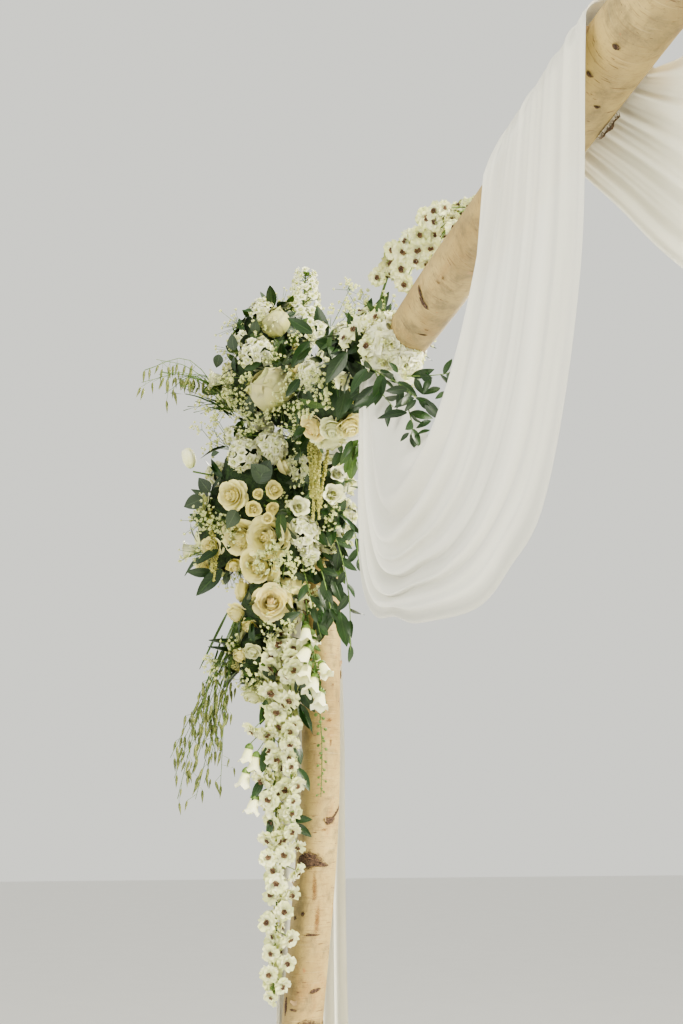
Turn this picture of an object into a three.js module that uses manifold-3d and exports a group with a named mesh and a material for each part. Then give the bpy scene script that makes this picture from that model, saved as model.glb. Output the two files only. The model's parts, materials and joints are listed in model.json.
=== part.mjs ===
// Draped birch wedding arch: two birch posts, one birch beam, a wound chiffon scarf and
// two sprays of cut flowers. Millimetres, +Z up, origin on the sawn foot of the left post,
// +X along the beam to the right post, -Y the front.
import * as THREE from 'three';
import { ConvexGeometry } from 'three/addons/geometries/ConvexGeometry.js';
import { mergeVertices } from 'three/addons/utils/BufferGeometryUtils.js';
import Module from 'manifold-3d';

const wasm = await Module();
wasm.setup();

// Driving dimensions
const SPAN = 3000;
const BEAM_Z = 2320;
const JOINT_Y = 75;
const BEAM_RADIUS = 37;
const BEAM_OVERHANG = 102;
const POST_FOOT_RADIUS = 43;
const POST_TOP_RADIUS = 38;
const POST_BOW = { from: 600, to: 1750 };
const POST_SHAPE = { topDrop: 12, rings: 18 };
const BRANCH = { x: 1545, radius: 11, reachY: 32, reachZ: -31, sides: 10 };
const GAP = 0.3;
const POLE_SIDES = 20;

// Scarf, wound along the beam
const WRAP_THICKNESS = 10;
const CLOTH_THICKNESS = 4;
const END_TURN = { from: -100, to: -47 };
const CORNER_WRAP_END = 700;
const MID_WRAP = { from: 1340, to: 1700 };
const WRAP_STEPS = 10;
const TAIL = {
  x: -75, lean: 8, aside: 7, topDrop: 22, hemZ: 45, waist: 0.3,
  topHalf: 36, waistHalf: 66, hemHalf: 150, flare: 2.2,
  folds: 3, foldAtTop: 3, foldMore: 11, steps: 12, strips: 12,
};
const TAIL_SPACE = { x: -78, thickness: 62, width: 180, fromZ: 1500 };
const SWAG = {
  steps: 18, strips: 10, folds: 3, blend: 0.6, forward: 10, belly: 14,
  foldAtEnds: 2, foldMore: 10, air: 3,
};

// Fastening and flower holder
const SCREW = {
  headRadius: 12, headHeight: 7, headSides: 6, shankRadius: 5, shankSides: 10,
  length: 170, seatDepth: 12, recessClear: 3, recessSides: 12,
};
const CAGE = { fromX: -42, toX: 120, frontY: -135, backY: -30, fromZ: 2110, toZ: 2316 };
const TIE = { z: 2165, height: 18, thickness: 3, clear: 1.2 };
const CLUMP_GRID = { around: 12, down: 8 };

const group = new THREE.Group();

const MATERIALS = {
  birch: [0xd9c3a0, 0.75, 0],
  chiffon: [0xf3efe6, 0.85, 0],
  steel: [0x9a9a98, 0.4, 0.9],
  foam: [0x3c5a34, 0.9, 0],
  tie: [0x2e4a2c, 0.6, 0],
  bloom: [0xf2ead8, 0.7, 0],
  leaf: [0x33502c, 0.6, 0],
  tassel: [0xa3a860, 0.8, 0],
  straw: [0xb39a5c, 0.8, 0],
};

function material(kind) {
  const [color, roughness, metalness] = MATERIALS[kind];
  return new THREE.MeshStandardMaterial({ color, roughness, metalness });
}

function welded(geometry) {
  const bare = geometry.clone();
  bare.deleteAttribute('normal');
  bare.deleteAttribute('uv');
  return mergeVertices(bare, 1e-4);
}

function signedVolume(geometry) {
  const position = geometry.attributes.position;
  const index = geometry.index;
  const corners = [new THREE.Vector3(), new THREE.Vector3(), new THREE.Vector3()];
  let sum = 0;
  for (let i = 0; i < index.count; i += 3) {
    corners.forEach((corner, k) => corner.fromBufferAttribute(position, index.getX(i + k)));
    sum += corners[0].dot(corners[1].clone().cross(corners[2])) / 6;
  }
  return sum;
}

// Faces are turned outward when a mapping or a mirror has reversed them.
function outward(geometry) {
  const closed = welded(geometry);
  if (signedVolume(closed) < 0) {
    const index = closed.index;
    for (let i = 0; i < index.count; i += 3) {
      const first = index.getX(i);
      index.setX(i, index.getX(i + 1));
      index.setX(i + 1, first);
    }
  }
  return closed;
}

function toSolid(geometry) {
  const closed = outward(geometry);
  const vertProperties = new Float32Array(closed.attributes.position.array);
  const triVerts = new Uint32Array(closed.index.array);
  return new wasm.Manifold(new wasm.Mesh({ numProp: 3, vertProperties, triVerts }));
}

function toGeometry(solid) {
  const mesh = solid.getMesh();
  const geometry = new THREE.BufferGeometry();
  geometry.setAttribute('position', new THREE.BufferAttribute(new Float32Array(mesh.vertProperties), 3));
  geometry.setIndex(new THREE.BufferAttribute(new Uint32Array(mesh.triVerts), 1));
  return geometry;
}

function joined(solids) {
  return solids.reduce((whole, next) => whole.add(next));
}

function largestBody(solid) {
  const bodies = solid.decompose();
  return bodies.reduce((best, next) => (next.volume() > best.volume() ? next : best));
}

function mapped(geometry, place) {
  const position = geometry.attributes.position;
  const point = new THREE.Vector3();
  for (let i = 0; i < position.count; i += 1) {
    point.fromBufferAttribute(position, i);
    const target = place(point);
    position.setXYZ(i, target.x, target.y, target.z);
  }
  return geometry;
}

function mirrored(geometry) {
  return outward(mapped(geometry.clone(), (p) => new THREE.Vector3(SPAN - p.x, p.y, p.z)));
}

// Half a turn about the upright line through the middle of the beam.
function turned(geometry) {
  return outward(mapped(geometry.clone(), (p) => new THREE.Vector3(SPAN - p.x, 2 * JOINT_Y - p.y, p.z)));
}

function addPiece(name, kind, geometry) {
  const mesh = new THREE.Mesh(outward(geometry), material(kind));
  mesh.name = name;
  mesh.geometry.computeVertexNormals();
  group.add(mesh);
}

// A straight round bar between two points.
function bar(from, to, radius, sides) {
  const axis = to.clone().sub(from);
  const geometry = new THREE.CylinderGeometry(radius, radius, axis.length(), sides);
  const upright = new THREE.Vector3(0, 1, 0);
  const turn = new THREE.Quaternion().setFromUnitVectors(upright, axis.clone().normalize());
  geometry.applyQuaternion(turn);
  geometry.translate((from.x + to.x) / 2, (from.y + to.y) / 2, (from.z + to.z) / 2);
  return geometry;
}

// A round stem along a curve, its radius given along the way.
function stem(points, radii, sides = 8, steps = 8) {
  const curve = new THREE.CatmullRomCurve3(points);
  const frames = curve.computeFrenetFrames(steps, false);
  const geometry = new THREE.CylinderGeometry(1, 1, 1, sides, steps);
  return mapped(geometry, (p) => {
    const along = 0.5 - p.y;
    const step = Math.round(along * steps);
    const slot = along * (radii.length - 1);
    const low = Math.min(Math.floor(slot), radii.length - 2);
    const radius = THREE.MathUtils.lerp(radii[low], radii[low + 1], slot - low);
    const centre = curve.getPoint(along);
    centre.addScaledVector(frames.normals[step], p.x * radius);
    return centre.addScaledVector(frames.binormals[step], p.z * radius);
  });
}

// The cloth's middle surface is given by surface(u, v); the sheet gets its thickness square to it.
function sheet(steps, strips, surface, thickness = CLOTH_THICKNESS) {
  const delta = 1e-3;
  const geometry = new THREE.BoxGeometry(1, 1, 1, steps, strips, 1);
  return mapped(geometry, (p) => {
    const u = p.x + 0.5;
    const v = p.y + 0.5;
    const along = surface(Math.min(u + delta, 1), v).sub(surface(Math.max(u - delta, 0), v));
    const across = surface(u, Math.min(v + delta, 1)).sub(surface(u, Math.max(v - delta, 0)));
    const normal = along.cross(across);
    if (u === 0 || u === 1) normal.z = 0;
    return surface(u, v).addScaledVector(normal.normalize(), p.z * thickness);
  });
}

// Poles
function postCentreY(z) {
  return JOINT_Y * THREE.MathUtils.smoothstep(z, POST_BOW.from, POST_BOW.to);
}

function postGeometry(grow) {
  const height = BEAM_Z - POST_SHAPE.topDrop;
  const geometry = new THREE.CylinderGeometry(1, 1, height, POLE_SIDES, POST_SHAPE.rings);
  return mapped(geometry, (p) => {
    const z = p.y + height / 2;
    const radius = THREE.MathUtils.lerp(POST_FOOT_RADIUS, POST_TOP_RADIUS, z / height) + grow;
    return new THREE.Vector3(p.x * radius, postCentreY(z) + p.z * radius, z);
  });
}

function beamGeometry(grow) {
  const from = new THREE.Vector3(-BEAM_OVERHANG, JOINT_Y, BEAM_Z);
  const to = new THREE.Vector3(SPAN + BEAM_OVERHANG, JOINT_Y, BEAM_Z);
  return bar(from, to, BEAM_RADIUS + grow, POLE_SIDES);
}

function screwSolid(grow) {
  const top = BEAM_Z + BEAM_RADIUS - SCREW.seatDepth + SCREW.headHeight;
  const seat = top - SCREW.headHeight;
  const at = (z) => new THREE.Vector3(0, JOINT_Y, z);
  const head = bar(at(seat - grow), at(top + grow), SCREW.headRadius + grow, SCREW.headSides);
  const shankEnd = at(top - SCREW.length - grow);
  const shank = bar(shankEnd, at(seat + 1), SCREW.shankRadius + grow, SCREW.shankSides);
  return toSolid(head).add(toSolid(shank));
}

function screwBore() {
  const seat = BEAM_Z + BEAM_RADIUS - SCREW.seatDepth;
  const at = (z) => new THREE.Vector3(0, JOINT_Y, z);
  const radius = SCREW.headRadius + SCREW.recessClear;
  const recess = bar(at(seat - GAP), at(BEAM_Z + 2 * BEAM_RADIUS), radius, SCREW.recessSides);
  return toSolid(recess).add(screwSolid(GAP));
}

function mirroredSolid(solid) {
  return toSolid(mirrored(toGeometry(solid)));
}

function addPoles() {
  const bore = screwBore();
  const branchFoot = new THREE.Vector3(BRANCH.x, JOINT_Y, BEAM_Z);
  const branchCut = branchFoot.clone().add(new THREE.Vector3(0, BRANCH.reachY, BRANCH.reachZ));
  const branch = toSolid(bar(branchFoot, branchCut, BRANCH.radius, BRANCH.sides));
  const beam = toSolid(beamGeometry(0)).add(branch);
  const post = toSolid(postGeometry(0)).subtract(toSolid(beamGeometry(GAP))).subtract(bore);
  const screw = toGeometry(screwSolid(0));
  addPiece('left_post', 'birch', toGeometry(post));
  addPiece('right_post', 'birch', mirrored(toGeometry(post)));
  addPiece('crossbeam', 'birch', toGeometry(beam.subtract(bore).subtract(mirroredSolid(bore))));
  addPiece('left_coach_screw', 'steel', screw);
  addPiece('right_coach_screw', 'steel', mirrored(screw));
}

// Cloth laid over the top half of the beam, open below.
function saddle(fromX, toX, grow) {
  const inner = BEAM_RADIUS + GAP - grow;
  const outer = BEAM_RADIUS + GAP + WRAP_THICKNESS + grow;
  const shape = new THREE.Shape();
  shape.absarc(0, 0, outer, 0, Math.PI, false);
  shape.absarc(0, 0, inner, Math.PI, 0, true);
  const length = toX - fromX + 2 * grow;
  const settings = { depth: length, bevelEnabled: false, curveSegments: WRAP_STEPS };
  const geometry = new THREE.ExtrudeGeometry(shape, settings);
  geometry.rotateX(Math.PI / 2);
  geometry.rotateZ(Math.PI / 2);
  geometry.translate(fromX - grow, JOINT_Y, BEAM_Z);
  return toSolid(geometry);
}

// One full turn of cloth round the beam's end, outside the post.
function endTurn(grow) {
  const inner = BEAM_RADIUS + GAP - grow;
  const outer = BEAM_RADIUS + GAP + WRAP_THICKNESS + grow;
  const shape = new THREE.Shape().absarc(0, 0, outer, 0, 2 * Math.PI, false);
  shape.holes.push(new THREE.Path().absarc(0, 0, inner, 0, 2 * Math.PI, true));
  const length = END_TURN.to - END_TURN.from + 2 * grow;
  const settings = { depth: length, bevelEnabled: false, curveSegments: WRAP_STEPS };
  const geometry = new THREE.ExtrudeGeometry(shape, settings);
  geometry.rotateX(Math.PI / 2);
  geometry.rotateZ(Math.PI / 2);
  geometry.translate(END_TURN.from - grow, JOINT_Y, BEAM_Z);
  return toSolid(geometry);
}

function cornerWrap(grow) {
  return saddle(END_TURN.from, CORNER_WRAP_END, grow).add(endTurn(grow));
}

function tailSurface(u, v) {
  const below = Math.max(u - TAIL.waist, 0) / (1 - TAIL.waist);
  const neck = THREE.MathUtils.smoothstep(u, 0, TAIL.waist);
  const upperHalf = THREE.MathUtils.lerp(TAIL.topHalf, TAIL.waistHalf, neck);
  const half = THREE.MathUtils.lerp(upperHalf, TAIL.hemHalf, below ** TAIL.flare);
  const depth = TAIL.foldAtTop + TAIL.foldMore * u;
  const y = JOINT_Y - TAIL.aside * neck + (v - 0.5) * 2 * half;
  const x = TAIL.x - TAIL.lean * u + depth * Math.sin(2 * Math.PI * TAIL.folds * v);
  const z = THREE.MathUtils.lerp(BEAM_Z - TAIL.topDrop, TAIL.hemZ, u);
  return new THREE.Vector3(x, y, z);
}

// Each thread line of a swag is a hanging curve with four controls, from the gather near
// the post to the gather at mid-beam; the lines between two hems are blended.
const FRONT_SWAG = {
  inner: [[700, 0], [760, -130], [1180, -440], [1350, 0]],
  outer: [[630, 0], [480, -610], [1720, -780], [1690, 0]],
};
const BACK_SWAG = {
  inner: [[700, 0], [760, -160], [1080, -150], [1380, 0]],
  outer: [[630, 0], [480, -610], [1250, -640], [1610, 0]],
};

function swagSurface(shape, u, v) {
  const weight = [(1 - u) ** 3, 3 * u * (1 - u) ** 2, 3 * u * u * (1 - u), u ** 3];
  const across = v ** SWAG.blend;
  let x = 0;
  let drop = 0;
  weight.forEach((w, k) => {
    x += w * THREE.MathUtils.lerp(shape.inner[k][0], shape.outer[k][0], across);
    drop += w * THREE.MathUtils.lerp(shape.inner[k][1], shape.outer[k][1], across);
  });
  const swing = Math.sin(Math.PI * u);
  const fold = (SWAG.foldAtEnds + SWAG.foldMore * swing) * Math.sin(2 * Math.PI * SWAG.folds * v);
  const clear = BEAM_RADIUS + GAP + WRAP_THICKNESS / 2;
  const y = JOINT_Y - clear - (SWAG.forward + SWAG.belly * v) * swing - fold;
  return new THREE.Vector3(x, y, BEAM_Z - 2 * GAP + drop);
}

function frontSwag(u, v) {
  return swagSurface(FRONT_SWAG, u, v);
}

function backSwag(u, v) {
  return swagSurface(BACK_SWAG, u, v);
}

// A swag with some air round it, in front of the beam or behind it, near the left post.
function swagSpace(surface, behind) {
  const geometry = sheet(SWAG.steps, SWAG.strips, surface, CLOTH_THICKNESS + SWAG.air);
  if (behind) mapped(geometry, (p) => new THREE.Vector3(p.x, 2 * JOINT_Y - p.y, p.z));
  const body = toSolid(geometry);
  const shift = SWAG.air / 2;
  const places = [[-shift, 0, -shift], [shift, 0, -shift], [-shift, 0, shift], [shift, 0, shift]];
  return joined([body, ...places.map((place) => body.translate(place))]);
}

function addCloth() {
  const wrap = toGeometry(cornerWrap(0));
  const tailSheet = toSolid(sheet(TAIL.steps, TAIL.strips, tailSurface));
  const tail = toGeometry(largestBody(tailSheet.subtract(endTurn(GAP).add(toSolid(beamGeometry(GAP))))));
  addPiece('left_beam_wrap', 'chiffon', wrap);
  addPiece('right_beam_wrap', 'chiffon', mirrored(wrap));
  addPiece('middle_beam_wrap', 'chiffon', toGeometry(saddle(MID_WRAP.from, MID_WRAP.to, 0)));
  addPiece('left_tail', 'chiffon', tail);
  addPiece('right_tail', 'chiffon', mirrored(tail));
  addPiece('front_swag', 'chiffon', sheet(SWAG.steps, SWAG.strips, frontSwag));
  addPiece('back_swag', 'chiffon', turned(sheet(SWAG.steps, SWAG.strips, backSwag)));
}

// Flower holder: a foam block in a cage, strapped to the front of the post just under the beam.
function cageBlock(grow) {
  const size = [CAGE.toX - CAGE.fromX, CAGE.backY - CAGE.frontY, CAGE.toZ - CAGE.fromZ];
  const geometry = new THREE.BoxGeometry(...size.map((side) => side + 2 * grow));
  const x = (CAGE.fromX + CAGE.toX) / 2;
  const y = (CAGE.frontY + CAGE.backY) / 2;
  const z = (CAGE.fromZ + CAGE.toZ) / 2;
  geometry.translate(x, JOINT_Y + y, z);
  return toSolid(geometry);
}

// The strap's outline is the tight loop round the post and the cage.
function strapLoop(clear) {
  const points = [];
  for (const z of [TIE.z, TIE.z + TIE.height]) {
    for (let k = 0; k < POLE_SIDES; k += 1) {
      const angle = (2 * Math.PI * k) / POLE_SIDES;
      const radius = POST_TOP_RADIUS + TIE.clear + clear;
      points.push(new THREE.Vector3(radius * Math.cos(angle), JOINT_Y + radius * Math.sin(angle), z));
    }
    for (const x of [CAGE.fromX - clear, CAGE.toX + clear]) {
      points.push(new THREE.Vector3(x, JOINT_Y + CAGE.frontY - clear, z));
      points.push(new THREE.Vector3(x, JOINT_Y + CAGE.backY, z));
    }
  }
  return toSolid(new ConvexGeometry(points));
}

// Flowers and greenery of one corner. Places are x, y from the beam's centre line, and height.
// A clump is a list of ellipsoids: centre, then half sizes. A stalk is a line of points with
// its half widths.
const FLOWERS = {
  heart_blooms: {
    kind: 'bloom',
    clumps: [
      [45, -150, 2220, 130, 95, 150],
      [20, -200, 2150, 95, 75, 110],
      [90, -95, 2120, 85, 85, 110],
      [100, -25, 2205, 75, 75, 120],
    ],
  },
  crown_blooms: {
    kind: 'bloom',
    clumps: [[10, -115, 2460, 120, 105, 110], [70, -70, 2420, 110, 105, 90], [0, -120, 2560, 85, 75, 85]],
  },
  lower_blooms: { kind: 'bloom', clumps: [[60, -120, 1990, 85, 65, 80], [40, -140, 1890, 60, 50, 60]] },
  shoulder_blooms: {
    kind: 'bloom',
    clumps: [
      [290, 15, 2430, 120, 80, 75],
      [400, 35, 2420, 85, 65, 60],
      [590, -5, 2345, 105, 72, 72],
      [380, -50, 2325, 170, 66, 84],
      [690, -36, 2312, 110, 58, 62],
    ],
  },
  beam_delphinium: {
    kind: 'bloom',
    stalk: [[440, 15, 2440], [600, 8, 2486], [780, 8, 2463], [960, 14, 2434], [1090, 22, 2404]],
    radii: [34, 40, 40, 32, 12],
  },
  stock_spike: {
    kind: 'bloom',
    stalk: [[5, -55, 2540], [0, -40, 2640], [0, -32, 2745]],
    radii: [30, 36, 12],
  },
  long_trail: {
    kind: 'bloom',
    stalk: [[70, -120, 1900], [75, -112, 1700], [65, -102, 1450], [55, -104, 1215]],
    radii: [36, 38, 32, 8],
  },
  short_trail: {
    kind: 'bloom',
    stalk: [[95, -85, 1960], [100, -78, 1780], [95, -76, 1560]],
    radii: [28, 26, 8],
  },
  foxglove_stem: {
    kind: 'bloom',
    stalk: [[120, -30, 2060], [118, -22, 1900], [100, 0, 1760], [92, 2, 1640]],
    radii: [18, 30, 22, 6],
  },
  leaf_strand: {
    kind: 'leaf',
    stalk: [[140, -8, 2125], [143, 14, 2050], [126, 30, 1970], [112, 36, 1890]],
    radii: [22, 26, 24, 10],
  },
  shoulder_leaves: {
    kind: 'leaf',
    stalk: [[480, -100, 2360], [620, -112, 2325], [730, -98, 2270], [810, -60, 2235], [865, 10, 2225]],
    radii: [22, 32, 32, 26, 12],
  },
  amaranth_tassel: {
    kind: 'tassel',
    stalk: [[236, -42, 2345], [236, -50, 2270], [235, -57, 2190], [235, -57, 2110]],
    radii: [16, 18, 14, 7],
  },
  upper_oat_spray: {
    kind: 'straw',
    stalk: [[10, -190, 2400], [0, -270, 2470], [0, -345, 2490], [0, -385, 2440]],
    radii: [10, 24, 34, 10],
  },
  lower_oat_spray: {
    kind: 'straw',
    stalk: [[30, -180, 1920], [10, -210, 1800], [5, -245, 1690], [0, -275, 1600]],
    radii: [12, 28, 34, 10],
  },
};

function vectorAt([x, y, z]) {
  return new THREE.Vector3(x, JOINT_Y + y, z);
}

function clump([x, y, z, halfX, halfY, halfZ], grow) {
  const geometry = new THREE.SphereGeometry(1, CLUMP_GRID.around, CLUMP_GRID.down);
  geometry.scale(halfX + grow, halfY + grow, halfZ + grow);
  geometry.translate(x, JOINT_Y + y, z);
  return toSolid(geometry);
}

function flowerSolid(flower, grow) {
  if (flower.clumps) return joined(flower.clumps.map((one) => clump(one, grow)));
  const radii = flower.radii.map((radius) => radius + grow);
  return toSolid(stem(flower.stalk.map(vectorAt), radii));
}

// The column of air that the tail hangs in, which the flowers leave free.
function tailSpace() {
  const height = BEAM_Z - TAIL_SPACE.fromZ;
  const geometry = new THREE.BoxGeometry(TAIL_SPACE.thickness, TAIL_SPACE.width, height);
  geometry.translate(TAIL_SPACE.x, JOINT_Y, TAIL_SPACE.fromZ + height / 2);
  return toSolid(geometry);
}

function addFlowers() {
  const poles = joined([toSolid(postGeometry(GAP)), toSolid(beamGeometry(GAP))]);
  const wrap = cornerWrap(GAP);
  const cage = cageBlock(0).subtract(poles.add(wrap));
  addPiece('left_flower_cage', 'foam', toGeometry(cage));
  addPiece('right_flower_cage', 'foam', mirrored(toGeometry(cage)));

  const strap = strapLoop(TIE.thickness).subtract(strapLoop(GAP));
  const strapBody = largestBody(strap.subtract(poles).subtract(cageBlock(GAP)));
  addPiece('left_cage_strap', 'tie', toGeometry(strapBody));
  addPiece('right_cage_strap', 'tie', mirrored(toGeometry(strapBody)));

  const swags = [swagSpace(frontSwag, false), swagSpace(backSwag, true)];
  let taken = joined([poles, wrap, cageBlock(GAP), strapLoop(TIE.thickness + GAP), tailSpace(), ...swags]);
  for (const [name, flower] of Object.entries(FLOWERS)) {
    const body = largestBody(flowerSolid(flower, 0).subtract(taken));
    taken = taken.add(flowerSolid(flower, GAP));
    addPiece(`left_${name}`, flower.kind, toGeometry(body));
    addPiece(`right_${name}`, flower.kind, mirrored(toGeometry(body)));
  }
}

addPoles();
addCloth();
addFlowers();

export default group;
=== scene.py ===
import json
import math
import bpy
import numpy as np
from mathutils import Matrix, Vector

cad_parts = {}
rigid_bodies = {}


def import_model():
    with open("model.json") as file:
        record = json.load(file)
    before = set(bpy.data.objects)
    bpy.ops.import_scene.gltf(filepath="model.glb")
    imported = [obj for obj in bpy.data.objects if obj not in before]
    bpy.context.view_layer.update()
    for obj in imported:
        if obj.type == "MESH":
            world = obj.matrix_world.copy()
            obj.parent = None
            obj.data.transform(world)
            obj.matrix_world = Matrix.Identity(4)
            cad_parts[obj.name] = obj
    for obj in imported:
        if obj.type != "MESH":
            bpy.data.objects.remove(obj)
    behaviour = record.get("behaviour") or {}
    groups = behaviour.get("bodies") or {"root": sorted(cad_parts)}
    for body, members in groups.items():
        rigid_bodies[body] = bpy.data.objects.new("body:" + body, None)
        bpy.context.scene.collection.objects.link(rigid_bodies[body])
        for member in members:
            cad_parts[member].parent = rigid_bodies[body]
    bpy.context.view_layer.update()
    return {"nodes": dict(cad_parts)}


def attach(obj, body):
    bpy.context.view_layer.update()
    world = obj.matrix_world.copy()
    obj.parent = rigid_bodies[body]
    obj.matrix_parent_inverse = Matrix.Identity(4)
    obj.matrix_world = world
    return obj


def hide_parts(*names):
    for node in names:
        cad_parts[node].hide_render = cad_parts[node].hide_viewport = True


# Looks of the draped birch arch. Metres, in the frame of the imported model:
# left post's foot at the origin, +X along the beam, -Y the front.
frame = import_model()
nodes = frame["nodes"]
rng = np.random.default_rng(7)
print("frame loaded:", len(nodes), "nodes")

arch = {
    "span": 3.0, "beamHeight": 2.32, "jointY": 0.075, "beamRadius": 0.037, "beamOverhang": 0.102,
    "footRadius": 0.043, "topRadius": 0.038,
    "bow": (0.6, 1.75),  # heights between which the post bows
    "copeDrop": 0.012, "copeGap": 0.0005,
}

view = {
    "place": (2.8427, -0.4305, 1.5952), "pitch": 11.718, "turn": 79.108,
    "lens": 50.0, "sensor": 36.0, "width": 683, "height": 1024,
}
eye = np.array(view["place"])
focal = view["lens"] / view["sensor"] * view["height"]  # in image pixels
goldenTurn, budTurn = 2.39996, 2.4  # radians between one floret or bud and the next
anyPhase = (0, 6.28)

# lamps: place, target, size, power, tint
studio = {
    "keyLight": ((3.6, 3.4, 4.6), (0.6, 0, 2.0), 2.2, 480, (1.0, 0.93, 0.78)),
    "fillLight": ((4.2, -4.4, 2.6), (1.0, 0, 1.8), 3.4, 170, (1.0, 0.96, 0.83)),
    "rimLight": ((-3.2, 1.6, 3.8), (0.6, 0, 2.0), 2.4, 250, (1.0, 0.95, 0.8)),
    "sky": (0.94, 0.94, 0.87), "skyStrength": 0.72, "exposure": 0.35, "floorReach": 30,
    "floor": ((0.78, 0.77, 0.75), (0.82, 0.81, 0.79)),
}


# Camera, light and floor
def addCamera():
    data = bpy.data.cameras.new("photoView")
    data.lens = view["lens"]
    data.sensor_width = view["sensor"]
    data.clip_start = 0.02
    camera = addObject("photoView", data)
    camera.location = view["place"]
    camera.rotation_euler = (math.radians(90 + view["pitch"]), 0, math.radians(view["turn"]))
    bpy.context.scene.camera = camera


def addSoftLight(name, place, target, size, power, colour):
    data = bpy.data.lights.new(name, "AREA")
    data.shape = "DISK"
    data.size = size
    data.energy = power
    data.color = colour
    lamp = addObject(name, data)
    lamp.location = place
    lamp.rotation_euler = (Vector(target) - Vector(place)).to_track_quat("-Z", "Y").to_euler()


def addStudio():
    for name in ("keyLight", "fillLight", "rimLight"):
        addSoftLight(name, *studio[name])
    world = bpy.data.worlds.new("paleStudio")
    world.use_nodes = True
    sky = world.node_tree.nodes["Background"]
    sky.inputs["Color"].default_value = (*studio["sky"], 1)
    sky.inputs["Strength"].default_value = studio["skyStrength"]
    scene = bpy.context.scene
    scene.world = world
    scene.view_settings.view_transform = "AgX"
    scene.view_settings.look = "AgX - Medium High Contrast"
    scene.view_settings.exposure = studio["exposure"]
    reach = studio["floorReach"]
    corners = [(-reach, -reach, 0), (reach, -reach, 0), (reach, reach, 0), (-reach, reach, 0)]
    floor = meshPiece("studioFloor", corners, [(0, 1, 2, 3)])
    paint = newMaterial("palePaint", studio["floor"][0], 0.9)
    mixColours(paint, noise(paint, "Object", 3.0, 4), *studio["floor"])
    floor.data.materials.append(paint.material)


# Small helpers for meshes
def meshPiece(name, points, faces, smooth=False, edges=()):
    mesh = bpy.data.meshes.new(name)
    mesh.from_pydata([tuple(p) for p in points], edges, [tuple(f) for f in faces])
    mesh.polygons.foreach_set("use_smooth", [smooth] * len(mesh.polygons))
    mesh.update()
    return addObject(name, mesh)


def addObject(name, data):
    made = bpy.data.objects.new(name, data)
    bpy.context.collection.objects.link(made)
    return made


def storeVectors(piece, name, values):
    field = piece.data.attributes.new(name, "FLOAT_VECTOR", "POINT")
    field.data.foreach_set("vector", np.asarray(values, dtype=np.float32).ravel())


def storeFloats(piece, name, values):
    field = piece.data.attributes.new(name, "FLOAT", "POINT")
    field.data.foreach_set("value", np.asarray(values, dtype=np.float32).ravel())


def pointsOf(mesh):
    points = np.empty(len(mesh.vertices) * 3, dtype=np.float32)
    mesh.vertices.foreach_get("co", points)
    return points.reshape(-1, 3)


def gridFaces(rows, columns, closed=False):
    faces = []
    for row in range(rows - 1):
        base, above = row * columns, (row + 1) * columns
        for column in range(columns if closed else columns - 1):
            after = (column + 1) % columns
            faces.append((base + column, base + after, above + after, above + column))
    return faces


# Small helpers for materials: a Finish keeps the material, its shader and its links
class Finish:
    def __init__(self, material):
        self.material = material
        self.tree = material.node_tree
        self.shader = self.tree.nodes["Principled BSDF"]

    def node(self, kind, **settings):
        made = self.tree.nodes.new(kind)
        for key, value in settings.items():
            setattr(made, key, value)
        return made

    def link(self, source, target):
        self.tree.links.new(source, target)


def newMaterial(name, colour, roughness, metallic=0.0):
    material = bpy.data.materials.new(name)
    material.use_nodes = True
    finish = Finish(material)
    setInputs(finish.shader, {"Base Color": (*colour, 1), "Roughness": roughness, "Metallic": metallic})
    return finish


def setInputs(node, values):
    for name, value in values.items():
        node.inputs[name].default_value = value


def coordinates(finish, source, scale=(1, 1, 1)):
    mapping = finish.node("ShaderNodeMapping")
    mapping.inputs["Scale"].default_value = scale
    if source in ("Object", "UV"):
        place = finish.node("ShaderNodeTexCoord").outputs[source]
    else:
        place = finish.node("ShaderNodeAttribute", attribute_name=source).outputs["Vector"]
    finish.link(place, mapping.inputs["Vector"])
    return mapping.outputs["Vector"]


def stored(finish, name):
    return finish.node("ShaderNodeAttribute", attribute_name=name).outputs["Fac"]


def split(finish, place):
    apart = finish.node("ShaderNodeSeparateXYZ")
    finish.link(place, apart.inputs["Vector"])
    return apart.outputs


def noise(finish, source, scale, detail=4, stretch=(1, 1, 1), roughness=0.55, distortion=0.0):
    cloud = finish.node("ShaderNodeTexNoise")
    setInputs(cloud, {"Scale": scale, "Detail": detail, "Roughness": roughness, "Distortion": distortion})
    finish.link(coordinates(finish, source, stretch), cloud.inputs["Vector"])
    return cloud.outputs["Fac"]


def stripes(finish, source, direction, scale, distortion=0.0):
    wave = finish.node("ShaderNodeTexWave", wave_type="BANDS", bands_direction=direction)
    setInputs(wave, {"Scale": scale, "Distortion": distortion})
    finish.link(coordinates(finish, source), wave.inputs["Vector"])
    return wave.outputs["Fac"]


def ramp(finish, value, stops):
    made = finish.node("ShaderNodeValToRGB")
    elements = made.color_ramp.elements
    while len(elements) < len(stops):
        elements.new(0.5)
    for element, (place, colour) in zip(elements, stops):
        element.position = place
        element.color = (*colour, 1)
    finish.link(value, made.inputs["Fac"])
    return made.outputs["Color"]


def band(finish, value, low, high):
    made = finish.node("ShaderNodeMapRange", interpolation_type="SMOOTHSTEP")
    setInputs(made, {"From Min": low, "From Max": high})
    finish.link(value, made.inputs["Value"])
    return made.outputs["Result"]


def between(finish, value, low, high, target):
    made = finish.node("ShaderNodeMapRange")
    setInputs(made, {"To Min": low, "To Max": high})
    finish.link(value, made.inputs["Value"])
    finish.link(made.outputs["Result"], finish.shader.inputs[target])


def feed(finish, sockets, values):
    # a value goes into its socket as a number, a colour or a link
    for socket, value in zip(sockets, values):
        if isinstance(value, (int, float)):
            socket.default_value = value
        elif isinstance(value, tuple):
            socket.default_value = (*value, 1)
        else:
            finish.link(value, socket)


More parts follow.
